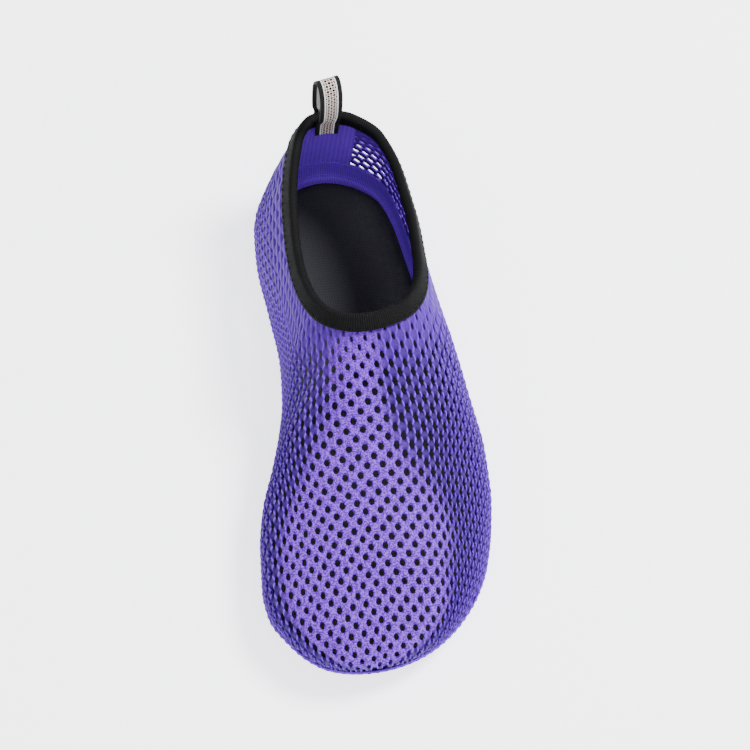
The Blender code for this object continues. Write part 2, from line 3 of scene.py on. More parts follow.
import bmesh
import bpy
import numpy as np
from mathutils import Matrix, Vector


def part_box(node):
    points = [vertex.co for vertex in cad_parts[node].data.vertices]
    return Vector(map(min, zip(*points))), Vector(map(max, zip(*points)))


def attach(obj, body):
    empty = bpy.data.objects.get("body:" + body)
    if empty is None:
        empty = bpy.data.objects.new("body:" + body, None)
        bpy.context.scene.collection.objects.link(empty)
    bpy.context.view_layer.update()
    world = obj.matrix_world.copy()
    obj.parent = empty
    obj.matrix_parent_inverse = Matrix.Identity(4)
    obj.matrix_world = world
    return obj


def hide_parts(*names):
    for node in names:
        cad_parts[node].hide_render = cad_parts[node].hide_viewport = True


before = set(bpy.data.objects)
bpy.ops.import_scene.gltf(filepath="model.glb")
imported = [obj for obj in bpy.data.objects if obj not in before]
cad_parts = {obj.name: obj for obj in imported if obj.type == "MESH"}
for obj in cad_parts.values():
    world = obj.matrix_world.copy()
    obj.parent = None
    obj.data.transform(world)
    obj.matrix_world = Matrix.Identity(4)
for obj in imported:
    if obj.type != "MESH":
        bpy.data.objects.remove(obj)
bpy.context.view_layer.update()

# The form of the last, the same function that the solids come from. Every piece that lies on the
# upper is worked out from it. Lengths are in metres, shares are of the ball width or the instep.
last = {
    "ballWidth": 0.104,
    "instep": 0.064,
    "collarHeight": 0.063,
    "soleThickness": 0.0038,
    "gap": 0.0003,
    "curvedGap": 0.0005,
    "wall": 0.0015,
    "edgeFullness": 5.0,
    "endRound": 0.090,
    "toeSpring": 0.0055,
    "springEnd": 0.22,
    "archRise": 0.0022,
    "arch": (0.46, 0.70),
    "heelRise": 0.0020,
    "heelRiseStart": 0.92,
    "soleShare": 0.945,
    "soleEndInset": 0.0030,
    "tip": 1e-5,
    "slopeStep": 2e-5,
}

lastColumns = ("station", "centre", "medial", "lateral", "widest", "rise", "lean", "fullness")
lastRows = (
    (0.000, -0.100, 0.000, 0.000, 0.118, 0.000, 0.000, 2.25),
    (0.015, -0.092, 0.186, 0.183, 0.118, 0.113, -0.010, 2.25),
    (0.035, -0.078, 0.268, 0.262, 0.120, 0.173, -0.020, 2.25),
    (0.070, -0.050, 0.367, 0.335, 0.124, 0.232, -0.030, 2.25),
    (0.120, -0.021, 0.461, 0.399, 0.132, 0.288, -0.035, 2.22),
    (0.170, -0.005, 0.490, 0.440, 0.142, 0.328, -0.035, 2.18),
    (0.240, 0.000, 0.484, 0.480, 0.155, 0.347, -0.035, 2.12),
    (0.310, 0.000, 0.456, 0.503, 0.165, 0.388, -0.030, 2.05),
    (0.380, 0.000, 0.398, 0.506, 0.175, 0.458, -0.025, 2.00),
    (0.450, 0.000, 0.348, 0.488, 0.185, 0.560, -0.012, 1.90),
    (0.520, 0.000, 0.312, 0.463, 0.195, 0.665, 0.010, 1.80),
    (0.600, 0.000, 0.300, 0.432, 0.205, 0.790, 0.015, 1.70),
    (0.700, 0.000, 0.318, 0.392, 0.215, 0.920, 0.045, 1.58),
    (0.800, 0.000, 0.340, 0.355, 0.225, 0.930, 0.085, 1.48),
    (0.880, 0.000, 0.331, 0.325, 0.230, 0.930, 0.088, 1.46),
    (0.940, 0.000, 0.272, 0.278, 0.235, 0.930, 0.062, 1.54),
    (0.980, 0.000, 0.168, 0.175, 0.240, 0.800, 0.020, 1.75),
    (1.000, 0.000, 0.000, 0.000, 0.240, 0.000, 0.000, 2.00),
)

# Collar's edge from the side: station, height as a share of the collar height
collarRows = (
    (0.520, 1.100), (0.560, 1.050), (0.600, 0.980), (0.650, 0.915), (0.700, 0.875),
    (0.760, 0.858), (0.830, 0.872), (0.900, 0.920), (0.960, 0.975), (1.000, 1.000),
)


def curveThrough(xs, ys):
    # cubic through the points that keeps their rises and falls: slopes are harmonic means
    steps = np.diff(xs)
    slopes = np.diff(ys) / steps
    product = slopes[:-1] * slopes[1:]
    total = slopes[:-1] + slopes[1:]
    safe = np.where(total == 0, 1.0, total)
    inner = np.where(product > 0, 2 * product / safe, 0.0)
    tangents = np.concatenate([slopes[:1], inner, slopes[-1:]])

    def read(at):
        left = np.clip(np.searchsorted(xs, at, side="right") - 1, 0, len(steps) - 1)
        t = (at - xs[left]) / steps[left]
        rise = steps[left]
        start = (2 * t**3 - 3 * t**2 + 1) * ys[left] + (t**3 - 2 * t**2 + t) * rise * tangents[left]
        end = (3 * t**2 - 2 * t**3) * ys[left + 1] + (t**3 - t**2) * rise * tangents[left + 1]
        return start + end

    return read


def ease(value, start, end):
    # smooth step from zero at the start to one at the end
    t = np.clip((value - start) / (end - start), 0, 1)
    return t * t * (3 - 2 * t)


def between(first, second, share):
    return first + (second - first) * share


def unit(vectors):
    return vectors / np.maximum(np.linalg.norm(vectors, axis=-1, keepdims=True), 1e-12)


def lengthsAlong(line):
    return np.concatenate([[0.0], np.cumsum(np.linalg.norm(np.diff(line, axis=0), axis=1))])


def pointsAt(line, lengths, at):
    return np.stack([np.interp(at, lengths, column) for column in line.T], axis=1)


def closedLine(medial, lateral):
    # down one side and back up the other, with the lengths along the line
    line = np.vstack([medial, lateral[-2:0:-1], medial[:1]])
    return line, lengthsAlong(line)


def lastCurves():
    table = {name: np.array(column) for name, column in zip(lastColumns, zip(*lastRows))}
    widths, heights = last["ballWidth"], last["instep"]
    plain = {"centre": widths, "lean": widths, "widest": heights, "fullness": 1.0}
    squared = {"medial": widths, "lateral": widths, "rise": heights}
    curves = {name: curveThrough(table["station"], table[name] * scale) for name, scale in plain.items()}
    for name, scale in squared.items():
        curves[name] = curveThrough(table["station"], (table[name] * scale) ** 2)
    return curves


upperLow, upperHigh = (np.array(corner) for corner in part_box("upper"))
length = upperHigh[1] - upperLow[1]
curves = lastCurves()
allStations = np.linspace(0, 1, 1201)
shift = np.array([
    upperHigh[0] - (curves["centre"](allStations) + np.sqrt(curves["lateral"](allStations))).max(),
    (upperHigh[1] + upperLow[1]) / 2,
    0.0,
])


def stationOf(y):
    return (y - shift[1]) / length + 0.5


def placeOf(station):
    return (station - 0.5) * length + shift[1]


def ground(station):
    # sole's ground face: toe spring is a square law, the arch a squared sine, the heel a square law
    toe = last["toeSpring"] * np.clip(1 - station / last["springEnd"], 0, 1) ** 2
    start, end = last["arch"]
    waist = np.clip((station - start) / (end - start), 0, 1)
    heel = np.clip((station - last["heelRiseStart"]) / (1 - last["heelRiseStart"]), 0, 1)
    return toe + last["archRise"] * np.sin(np.pi * waist) ** 2 + last["heelRise"] * heel**2


def sizesAt(station):
    # half widths and heights are read as squares, so the form closes round at toe and heel
    station = np.clip(station, last["tip"], 1 - last["tip"])
    size = {name: curve(station) for name, curve in curves.items()}
    size["centre"] = size["centre"] + shift[0]
    near = np.clip(np.minimum(station, 1 - station) / last["endRound"], 0, 1)
    full = last["edgeFullness"]
    size["drop"] = size["widest"] ** 2 * (1 - (1 - near) ** full) ** (2 / full)
    size["underside"] = ground(station) + last["soleThickness"] + last["gap"]
    size["level"] = size["underside"] + size["widest"]
    return size


def climbOf(size, height):
    # share of the way from the widest line to the crest
    return np.clip((height - size["level"]) / np.sqrt(size["rise"]), 0, 1)


def halfAt(size, across):
    return np.sqrt(np.where(across < 0, size["medial"], size["lateral"]))


def onUpper(stations, climbs, side):
    # point of the form at a station and a climb from the widest line to the crest, on one side
    size = sizesAt(stations)
    width = (1 - climbs ** size["fullness"]) ** (1 / np.maximum(2.0, size["fullness"]))
    half = np.sqrt(size["medial"] if side < 0 else size["lateral"])
    x = size["centre"] + size["lean"] * climbs + side * half * width
    return np.stack([x, placeOf(stations), size["level"] + np.sqrt(size["rise"]) * climbs], axis=1)


def formValue(points):
    # superellipse in every cross section: below zero inside, zero on the surface
    station = stationOf(points[..., 1])
    inside = np.clip(station, last["tip"], 1 - last["tip"])
    size = sizesAt(inside)
    height = points[..., 2] - size["level"]
    above = height > 0
    climb = np.clip(height / np.sqrt(size["rise"]), 0, 1)
    across = points[..., 0] - size["centre"] - size["lean"] * climb
    side = np.where(across < 0, size["medial"], size["lateral"])
    reach = np.where(above, size["rise"], size["drop"])
    rising = np.where(above, size["fullness"], last["edgeFullness"])
    crossing = np.maximum(2.0, rising)
    mean = (size["medial"] + size["lateral"]) / 2
    arch = (across**2 / side) ** (crossing / 2) + (height**2 / reach) ** (rising / 2)
    slope = np.where(station > 0.5, -1.0, 1.0) * endSlope
    return (arch ** (4 / (rising + crossing)) - 1) * mean - slope * (station - inside)


def slopeAtEnds(step=1e-4):
    ends = sizesAt(np.array([step, 1 - step]))
    return (ends["medial"] + ends["lateral"]).mean() / 2 / step


endSlope = slopeAtEnds()


def normalsAt(points):
    # the form's own slopes by central differences
    slopes = [formValue(points + axis) - formValue(points - axis) for axis in np.eye(3) * last["slopeStep"]]
    slopes = np.stack(slopes, axis=-1)
    size = np.linalg.norm(slopes, axis=-1, keepdims=True)
    return slopes / size, size[..., 0] / (2 * last["slopeStep"])


def ontoForm(points, rounds=3):
    # Newton steps along the slope until the form's value is zero
    for _ in range(rounds):
        normals, steepness = normalsAt(points)
        points = points - normals * (formValue(points) / steepness)[..., None]
    return points


def undersideHeight(x, y):
    size = sizesAt(stationOf(y))
    across = x - size["centre"]
    share = np.clip(np.abs(across) / halfAt(size, across), 0, 0.999)
    full = last["edgeFullness"]
    return size["level"] - np.sqrt(size["drop"]) * (1 - share**full) ** (1 / full)


def collarEdge(y):
    rows = np.array(collarRows)
    station = np.clip(stationOf(y), rows[0, 0], 1)
    return last["collarHeight"] * curveThrough(rows[:, 0], rows[:, 1])(station)


def collarLoop(count=400):
    # the collar's edge as a closed line: throat, medial side, heel, lateral side
    station = np.linspace(collarRows[0][0], 0.999, count)
    size = sizesAt(station)
    over = size["level"] + np.sqrt(size["rise"]) - collarEdge(placeOf(station))
    openPart = np.nonzero(over > 0)[0]
    first, end = openPart[0], openPart[-1]
    front = np.interp(0.0, over[first - 1:first + 1], station[first - 1:first + 1])
    back = np.interp(0.0, over[end:end + 2][::-1], station[end:end + 2][::-1])
    along = between(front, back, (1 - np.cos(np.linspace(0, np.pi, count))) / 2)
    climb = climbOf(sizesAt(along), collarEdge(placeOf(along)))
    medial, lateral = onUpper(along, climb, -1), onUpper(along, climb, 1)
    loop, travel = closedLine(medial, lateral)
    return loop, travel, travel[count - 1]


collarLine, collarTravel, collarHeel = collarLoop()


def collarFrames(places, step=0.002):
    # point, outward normal and downward direction of the collar's edge at lengths along it
    before, here, after = (pointsAt(collarLine, collarTravel, np.mod(places + move, collarTravel[-1]))
                           for move in (-step, 0.0, step))
    points = ontoForm(here, 6)
    normals, _ = normalsAt(points)
    down = unit(np.cross(unit(after - before), normals))
    return points, normals, down * np.where(down[:, 2:] > 0, -1.0, 1.0)


print("form ready, length", round(length, 4), "shift", shift.round(5))

# Colours in linear light
palette = {
    # Painted shade between the cords, toward the holes and down their walls
    "meshGapShade": (0.009, 0.001, 0.055),
    "meshDark": (0.044, 0.004, 0.195),
    "meshMiddle": (0.078, 0.009, 0.340),
    # Also the painted highlight along the cords' crests on the slack sides
    "meshBright": (0.215, 0.040, 0.860),
    "meshLight": (0.275, 0.060, 0.860),
    "tapeBlack": (0.0005, 0.0005, 0.0006),
    # Near-black grey: on the collar tape partly a painted highlight on the rib crests
    "tapeGrey": (0.0022, 0.0022, 0.0027),
    "threadBlack": (0.0010, 0.0010, 0.0012),
    "threadViolet": (0.110, 0.040, 0.500),
    "loopWhite": (0.80, 0.79, 0.77),
    "loopTan": (0.30, 0.115, 0.05),
    "loopBack": (0.42, 0.41, 0.40),
    "insoleDark": (0.010, 0.010, 0.012),
    "insoleLight": (0.034, 0.034, 0.040),
    "rubberDark": (0.007, 0.007, 0.008),
    "rubberScuffed": (0.040, 0.038, 0.038),
    "floor": (0.93, 0.93, 0.95),
    "floorGlow": (0.95, 0.96, 1.0),
    "black": (0.0, 0.0, 0.0),
}


class Wire:
    # a shader socket that takes part in Python expressions
    def __init__(self, tree, socket):
        self.tree, self.socket = tree, socket

    def math(self, operation, *others, clamp=False):
        return self.tree.add("ShaderNodeMath", {"operation": operation, "use_clamp": clamp}, self, *others)

    def held(self):
        # kept between zero and one
        return self.math("MULTIPLY", 1.0, clamp=True)

    def wave(self):
        # sine between zero and one, a wave to each unit
        return (self * (2 * math.pi)).math("SINE") * 0.5 + 0.5

    def __add__(self, other):
        return self.math("ADD", other)

    def __sub__(self, other):
        return self.math("SUBTRACT", other)

    def __rsub__(self, other):
        return self.tree.add("ShaderNodeMath", {"operation": "SUBTRACT"}, other, self)

    def __mul__(self, other):
        return self.math("MULTIPLY", other)

    def __truediv__(self, other):
        return self.math("DIVIDE", other)

    __radd__ = __add__


class Finish:
    # a material; a value is a socket, a number or the name of a palette colour
    def __init__(self, name):
        self.material = bpy.data.materials.new(name)
        self.material.use_nodes = True
        self.nodes = self.material.node_tree.nodes
        self.place = self.add("ShaderNodeTexCoord", {}, out="Object")

    def put(self, socket, value):
        if isinstance(value, Wire):
            self.material.node_tree.links.new(value.socket, socket)
        else:
            socket.default_value = (*palette[value], 1.0) if isinstance(value, str) else value

    def add(self, kind, settings, *values, out=0, **named):
        node = self.nodes.new(kind)
        for name, value in settings.items():
            setattr(node, name, value)
        for socket, value in zip(node.inputs, values):
            self.put(socket, value)
        for name, value in named.items():
            self.put(node.inputs[name], value)
        return Wire(self, node.outputs[out])

    def parts(self, vector):
        node = self.add("ShaderNodeSeparateXYZ", {}, vector).socket.node
        return [Wire(self, node.outputs[axis]) for axis in range(3)]

    def lattice(self, name):
        return self.parts(self.add("ShaderNodeUVMap", {"uv_map": name}))[:2]

    def noise(self, scale, detail=2.0, roughness=0.5):
        return self.add("ShaderNodeTexNoise", {}, Vector=self.place, Scale=scale, Detail=detail,
                        Roughness=roughness)

    def mix(self, factor, first, second):
        node = self.nodes.new("ShaderNodeMix")
        node.data_type = "RGBA"
        for number, value in ((0, factor), (6, first), (7, second)):
            self.put(node.inputs[number], value)
        return Wire(self, node.outputs[2])

    def bump(self, height, distance, strength):
        return self.add("ShaderNodeBump", {}, Strength=strength, Distance=distance, Height=height)

    def finish(self, **sockets):
        for name, value in sockets.items():
            self.put(self.nodes["Principled BSDF"].inputs[name.replace("_", " ")], value)
        return self.material


def makeMesh(name, vertices, faces, maps=None):
    # faces is an array of corners with three or four columns, maps are UV coordinates by name
    mesh = bpy.data.meshes.new(name)
    mesh.vertices.add(len(vertices))
    mesh.vertices.foreach_set("co", vertices.astype(np.float32).ravel())
    mesh.loops.add(faces.size)
    mesh.loops.foreach_set("vertex_index", faces.astype(np.int32).ravel())
    mesh.polygons.add(len(faces))
    mesh.polygons.foreach_set("loop_start", np.arange(0, faces.size, faces.shape[1], dtype=np.int32))
    for label, uv in (maps or {}).items():
        layer = mesh.uv_layers.new(name=label)
        layer.data.foreach_set("uv", uv[faces.ravel()].astype(np.float32).ravel())
    mesh.polygons.foreach_set("use_smooth", np.ones(len(faces), bool))
    mesh.update(calc_edges=True)
    mesh.validate()
    piece = bpy.data.objects.new(name, mesh)
    bpy.context.scene.collection.objects.link(piece)
    return piece


def gridFaces(rows, columns, closeRows=False, closeColumns=False):
    # quads of a grid whose rows or columns may close on themselves
    row, column = np.meshgrid(np.arange(rows if closeRows else rows - 1),
                              np.arange(columns if closeColumns else columns - 1), indexing="ij")
    ahead, beside = (row + 1) % rows, (column + 1) % columns
    corners = (row * columns + column, row * columns + beside,
               ahead * columns + beside, ahead * columns + column)
    return np.stack(corners, axis=-1).reshape(-1, 4)


def makeGrid(name, points, closeRows, closeColumns, **maps):
    # mesh of a grid of points; each map is a pair that spreads over the rows and columns
    rows, columns = points.shape[:2]
    spread = {label: np.stack(np.broadcast_arrays(*pair), axis=-1).reshape(-1, 2)
              for label, pair in maps.items()}
    return makeMesh(name, points.reshape(-1, 3), gridFaces(rows, columns, closeRows, closeColumns), spread)


def dress(piece, material, node):
    piece.data.materials.append(material)
    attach(piece, "root")
    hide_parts(node)
    print(piece.name, len(piece.data.polygons))


# The stretch mesh. Its columns of holes start on one cross section of the vamp and run as
# geodesics over the form: forward over the toe, back along the sides and round the heel.
meshNet = {
    "startStation": 0.36,
    "columns": 41,               # on each side of the crest
    "spacingCrest": 0.00345,     # between neighbouring columns at the crest
    "spacingSide": 0.00205,
    "spacingFrom": 0.016,
    "spacingTo": 0.040,
    "periodCrest": 0.0077,       # between holes of one column
    "periodSide": 0.0087,
    "rowsToToe": 44,
    "rowsToHeel": 76,
    "substeps": 4,
    "evening": 0.13,             # share of the way to the neighbours' middle, at each small step
    "closest": 0.0021,           # nearer than this, two parts of the net would lie on each other
    "thickness": 0.0013,
    "collarMargin": 0.0030,
    "underMargin": 0.0075,
    "seamMargin": 0.0004,
    "holeWide": (0.48, 0.41),    # half a hole's width as a share of the columns' spacing: slack, stretched
    "holeTall": (0.255, 0.182),  # half its height as a share of the period
    "holeWidest": (0.00134, 0.00140),
    "holePower": (1.5, 2.1),     # below two the hole is a lens, at two an ellipse
    "holeMost": 0.84,            # of the way from a hole's middle to its cell's rim
    "shutBeside": 0.84,          # how far the holes close beside the collar, across and along
    "shutAlong": 0.40,
    "cordSwing": 0.17,           # wave of the cords between the holes, in columns
    "cordHalf": 0.30,
    "cordHeight": 0.00042,
    "cordLevel": 0.6,            # share of a cord's height that lies under the form
    "cordRound": 0.85,           # share of the height lost where the holes are round
    "cordShut": 0.75,            # and where they are shut
}
# thread's section from its middle to the hole's edge and back: share of the way, depth share
threadProfile = ((0.0, 0.0), (0.45, 0.05), (0.80, 0.22), (1.0, 0.50), (0.86, 0.80), (0.45, 0.96), (0.0, 1.0))


def startColumns():
    # arc lengths of the columns on the starting section, from the crest outward
    arc = np.linspace(0, 0.12, 2001)
    side = ease(arc, meshNet["spacingFrom"], meshNet["spacingTo"])
    spacing = between(meshNet["spacingCrest"], meshNet["spacingSide"], side)
    count = np.concatenate([[0.0], np.cumsum(np.diff(arc) / ((spacing[1:] + spacing[:-1]) / 2))])
    return np.interp(np.arange(meshNet["columns"] + 1), count, arc)


def startSection():
    # points on the starting section at the columns' arc lengths, medial to lateral
    station = np.array([meshNet["startStation"]])
    size = {name: float(value[0]) for name, value in sizesAt(station).items()}
    angle = np.linspace(np.pi / 2, -np.pi / 2, 3001)
    rising = np.where(angle > 0, size["fullness"], last["edgeFullness"])
    across = np.abs(np.cos(angle)) ** (2 / np.maximum(2.0, rising))
    height = np.sign(np.sin(angle)) * np.abs(np.sin(angle)) ** (2 / rising)
    z = size["level"] + height * np.sqrt(np.where(angle > 0, size["rise"], size["drop"]))
    sides = []
    for half, sign in ((size["medial"], -1), (size["lateral"], 1)):
        x = size["centre"] + size["lean"] * np.clip(height, 0, 1) + sign * math.sqrt(half) * across
        line = np.stack([x, np.full(len(x), placeOf(station)[0]), z], axis=1)
        sides.append(pointsAt(line, lengthsAlong(line), startColumns()))
    return np.vstack([sides[0][:0:-1], sides[1]])


def alongForm(vectors, points):
    normals, _ = normalsAt(points)
    return unit(vectors - (vectors * normals).sum(axis=1, keepdims=True) * normals)


def marchColumns(points, sense, rows, half, evening):
    # each column keeps straight on the surface: a step along its direction, back onto the form;
    # then it is drawn toward the middle of its neighbours, so the fabric stays evenly spread
    ahead = alongForm(np.tile([0.0, sense, 0.0], (len(points), 1)), points)
    step = (half / meshNet["substeps"])[:, None]
    line = [points]
    for _ in range(rows):
        for _ in range(meshNet["substeps"]):
            onward = ontoForm(points + ahead * step, 2)
            onward[1:-1] += evening * ((onward[:-2] + onward[2:]) / 2 - onward[1:-1])
            onward = ontoForm(onward, 1)
            ahead = alongForm(onward - points, onward)
            points = onward
        line.append(points)
    return np.array(line)


def netNodes():
    # node[row, column]: a hole wherever row plus column is even
    points = startSection()
    side = np.abs(np.arange(-meshNet["columns"], meshNet["columns"] + 1)) / meshNet["columns"]
    half = between(meshNet["periodCrest"], meshNet["periodSide"], side) / 2
    toToe = marchColumns(points, -1.0, meshNet["rowsToToe"], half, 0.0)
    toHeel = marchColumns(points, 1.0, meshNet["rowsToHeel"], half, meshNet["evening"])
    return np.concatenate([toToe[:0:-1], toHeel])


def keptCells(nodes):
    # holes below the collar, outside the sole's rim and on their own side of the heel
    start = meshNet["rowsToToe"]
    x, y, z = np.moveaxis(nodes, -1, 0)
    station = stationOf(y)
    size = sizesAt(station)
    column = (np.arange(nodes.shape[1]) - meshNet["columns"])[None, :]
    row = (np.arange(nodes.shape[0]) - start)[:, None]
    apart = [np.linalg.norm(line[:, None] - collarLine[None, ::4], axis=2).min(axis=1) for line in nodes]
    chosen = ((row + column) % 2 == 0) & ((station < 0.5) | (z < collarEdge(y)))
    chosen &= np.array(apart) > meshNet["collarMargin"]
    inset = last["soleEndInset"] + meshNet["underMargin"]
    soleStation = np.clip((station * length - inset) / (length - 2 * inset), last["tip"], 1 - last["tip"])
    sole = sizesAt(soleStation)
    across = x - sole["centre"]
    rim = last["soleShare"] * halfAt(sole, across) - meshNet["underMargin"]
    beyondEnds = np.minimum(station, 1 - station) * length < inset
    outside = (z > size["level"]) | (np.abs(across) > rim) | beyondEnds
    seam = size["centre"] + size["lean"] * 0.5
    offSide = (x - seam) * np.where(column < 0, -1, 1) <= meshNet["seamMargin"]
    crossed = (z < size["level"]) & ((x - size["centre"]) * column < 0)
    # what a column meets on its way to the heel or to the toe ends it
    ended = ((station > 0.9) & offSide) | crossed
    ended[start:] = np.maximum.accumulate(ended[start:], axis=0)
    ended[start::-1] = np.maximum.accumulate((crossed | ~outside)[start::-1], axis=0)
    chosen &= outside & ~ended
    chosen[[0, 1, -2, -1]] = False
    chosen[:, [0, -1]] = False
    return chosen & ~yielding(chosen, nodes)


def yielding(chosen, nodes):
    # where two parts of the net would lie on each other, the one further from the crest gives way
    rows, columns = np.nonzero(chosen)
    number = columns - meshNet["columns"]
    order = np.abs(number) + 0.5 * (number > 0)
    place = nodes[rows, columns]
    near = np.linalg.norm(place[:, None] - place[None], axis=2) < meshNet["closest"]
    apart = np.abs(number[:, None] - number[None]) > 2
    start = meshNet["rowsToToe"]
    front = rows < start
    apart &= (front[:, None] & front[None]) | (np.sign(number)[:, None] * np.sign(number)[None] > 0)
    dropped = np.zeros(chosen.shape, bool)
    dropped[rows, columns] = (near & apart & (order[:, None] > order[None])).any(axis=1)
    dropped[:start] = np.maximum.accumulate(dropped[:start][::-1], axis=0)[::-1]
    return dropped


nodes = netNodes()
kept = keptCells(nodes)
print("net", nodes.shape, "holes", int(kept.sum()))

# Where the holes are pulled round on top of the foot, and shut beside the collar
netZones = {
    "roundClimb": 0.54,              # the lowest climb of the round holes, over the toe
    "backClimb": 0.28,               # added toward the throat
    "backStations": (0.18, 0.46),
    "lateralClimb": 0.14,            # added on the lateral side
    "lateralReach": 0.014,
    "lateralStations": (0.05, 0.16),
    "climbFade": 0.20,
    "endStations": (0.50, 0.58),
    "shutStations": (0.44, 0.60),
    "shutBelow": (0.011, 0.028),     # under the collar's edge
}


def stretchAt(points):
    # one where the holes are round, zero on the slack sides; and how far the holes are shut
    zones = netZones
    station = stationOf(points[..., 1])
    size = sizesAt(station)
    outward = ease(points[..., 0] - size["centre"], 0.0, zones["lateralReach"])
    start = zones["roundClimb"] + zones["backClimb"] * ease(station, *zones["backStations"])
    start = start + zones["lateralClimb"] * outward * ease(station, *zones["lateralStations"])
    round_ = ease(climbOf(size, points[..., 2]), start, start + zones["climbFade"])
    below = collarEdge(points[..., 1]) - points[..., 2]
    shut = ease(station, *zones["shutStations"]) * (1 - ease(below, *zones["shutBelow"]))
    return round_ * (1 - ease(station, *zones["endStations"])), shut


def cordAt(columns, rows):
    # ridge of the waving cords between neighbouring columns of holes, one on its middle line
    cell = np.floor(columns)
    swing = meshNet["cordSwing"] * np.cos(np.pi * rows) * np.cos(np.pi * cell)
    return 1 - np.clip(np.abs(columns - cell - 0.5 - swing) / meshNet["cordHalf"], 0, 1)


def netPiece(name, chosen):
    # a hole's cell is a hexagon with twelve rim points, which its neighbours share; from each one
    # a thread's section runs to the hole's edge and back below
    rows, columns = np.nonzero(chosen)
    step = np.array(((2, 0), (1, 1), (-1, 1), (-2, 0), (-1, -1), (1, -1)))
    here = np.stack([rows, columns], axis=1)[:, None, :]
    centre = nodes[rows, columns]
    near = nodes[tuple(np.moveaxis(here + step, 2, 0))]
    edge = (centre[:, None] + near) / 2
    corner = (centre[:, None] + near + np.roll(near, -1, axis=1)) / 3
    edgeKey = 6 * here + 3 * step
    cornerKey = 6 * here + 2 * (step + np.roll(step, -1, axis=0))
    rim = np.stack([edge, corner], axis=2).reshape(-1, 12, 3)
    key = np.stack([edgeKey, cornerKey], axis=2).reshape(-1, 12, 2)
    across = (near[:, 1] + near[:, 2] - near[:, 4] - near[:, 5]) / 4
    along = (near[:, 0] - near[:, 3]) / 2
    round_, shut = stretchAt(centre)
    wide, tall, power, widest = (between(*meshNet["hole" + part], round_)[:, None]
                                 for part in ("Wide", "Tall", "Power", "Widest"))
    wide = wide * np.linalg.norm(across, axis=1, keepdims=True) * (1 - meshNet["shutBeside"] * shut)[:, None]
    wide = np.minimum(wide, widest)
    tall = tall * np.linalg.norm(along, axis=1, keepdims=True) * (1 - meshNet["shutAlong"] * shut)[:, None]
    across, along = unit(across)[:, None], unit(along)[:, None]
    away = rim - centre[:, None]
    u, v = (away * across).sum(axis=2), (away * along).sum(axis=2)
    reach = np.hypot(u, v)
    u, v = u / reach, v / reach
    bound = (np.abs(u / wide) ** power + np.abs(v / tall) ** power) ** (-1 / power)
    bound = np.minimum(bound, meshNet["holeMost"] * reach)
    hole = centre[:, None] + (u * bound)[..., None] * across + (v * bound)[..., None] * along
    rim, hole = ontoForm(rim, 4), ontoForm(hole, 4)
    rimNormal, holeNormal = normalsAt(rim)[0], normalsAt(hole)[0]
    holeUv = between(here, key / 6, (bound / reach)[..., None])
    shared, inverse = np.unique(key.reshape(-1, 2), axis=0, return_inverse=True)
    inverse = inverse.reshape(len(rows), 12)
    firstOf = np.zeros(len(shared), int)
    firstOf[inverse.ravel()] = np.arange(inverse.size)
    top = rim.reshape(-1, 3)[firstOf]
    thick = meshNet["thickness"]
    vertices = [top, top - rimNormal.reshape(-1, 3)[firstOf] * thick]
    uv = [shared / 6, shared / 6]
    shares = [np.zeros(2 * len(shared))]
    layers = [inverse]
    for share, depth in threadProfile[1:-1]:
        layers.append(sum(map(len, vertices)) + np.arange(inverse.size).reshape(inverse.shape))
        point = between(rim, hole, share) - unit(between(rimNormal, holeNormal, share)) * (depth * thick)
        vertices.append(point.reshape(-1, 3))
        uv.append(between(key / 6, holeUv, share).reshape(-1, 2))
        shares.append(np.full(inverse.size, share))
    layers.append(inverse + len(shared))
    faces = [np.stack([upper, lower, np.roll(lower, -1, axis=1), np.roll(upper, -1, axis=1)], axis=2)
             for upper, lower in zip(layers, layers[1:])]
    uv = np.vstack(uv)[:, ::-1]
    vertices = np.vstack(vertices)
    round_, shut = stretchAt(vertices)
    outward, _ = normalsAt(vertices)
    raised = meshNet["cordHeight"] * (cordAt(uv[:, 0], uv[:, 1]) - meshNet["cordLevel"])
    raised = raised * (1 - meshNet["cordRound"] * round_) * (1 - meshNet["cordShut"] * shut)
    vertices = vertices + outward * (raised + creaseDepth(vertices))[:, None]
    zone = np.stack([np.concatenate(shares), round_], axis=1)
    return makeMesh(name, vertices, np.vstack(faces).reshape(-1, 4), {
        "weave": uv, "zone": zone, "beside": np.stack([shut, round_], axis=1)})


# Soft troughs and ridges of the slack fabric: side, points as station and climb, half width, depth
creases = (
    (-1, ((0.60, 0.62), (0.70, 0.60), (0.80, 0.62), (0.88, 0.66)), 0.0050, -0.0011),
    (-1, ((0.53, 0.86), (0.50, 0.66), (0.46, 0.44), (0.44, 0.25)), 0.0045, -0.0009),
    (-1, ((0.58, 0.72), (0.56, 0.50), (0.53, 0.30)), 0.0045, 0.0008),
    (1, ((0.54, 0.86), (0.52, 0.64), (0.49, 0.42), (0.47, 0.22)), 0.0045, -0.0009),
    (1, ((0.60, 0.70), (0.59, 0.48), (0.57, 0.28)), 0.0045, 0.0007),
    (1, ((0.64, 0.62), (0.74, 0.58), (0.84, 0.62)), 0.0050, -0.0010),
    (-1, ((0.30, 0.40), (0.315, 0.70), (0.325, 0.93)), 0.0055, -0.0008),
    (1, ((0.33, 0.35), (0.345, 0.65), (0.335, 0.93)), 0.0055, -0.0008),
    (-1, ((0.92, 0.70), (0.90, 0.45), (0.90, 0.20)), 0.0045, -0.0008),
    (1, ((0.91, 0.66), (0.89, 0.42), (0.90, 0.20)), 0.0045, -0.0008),
)


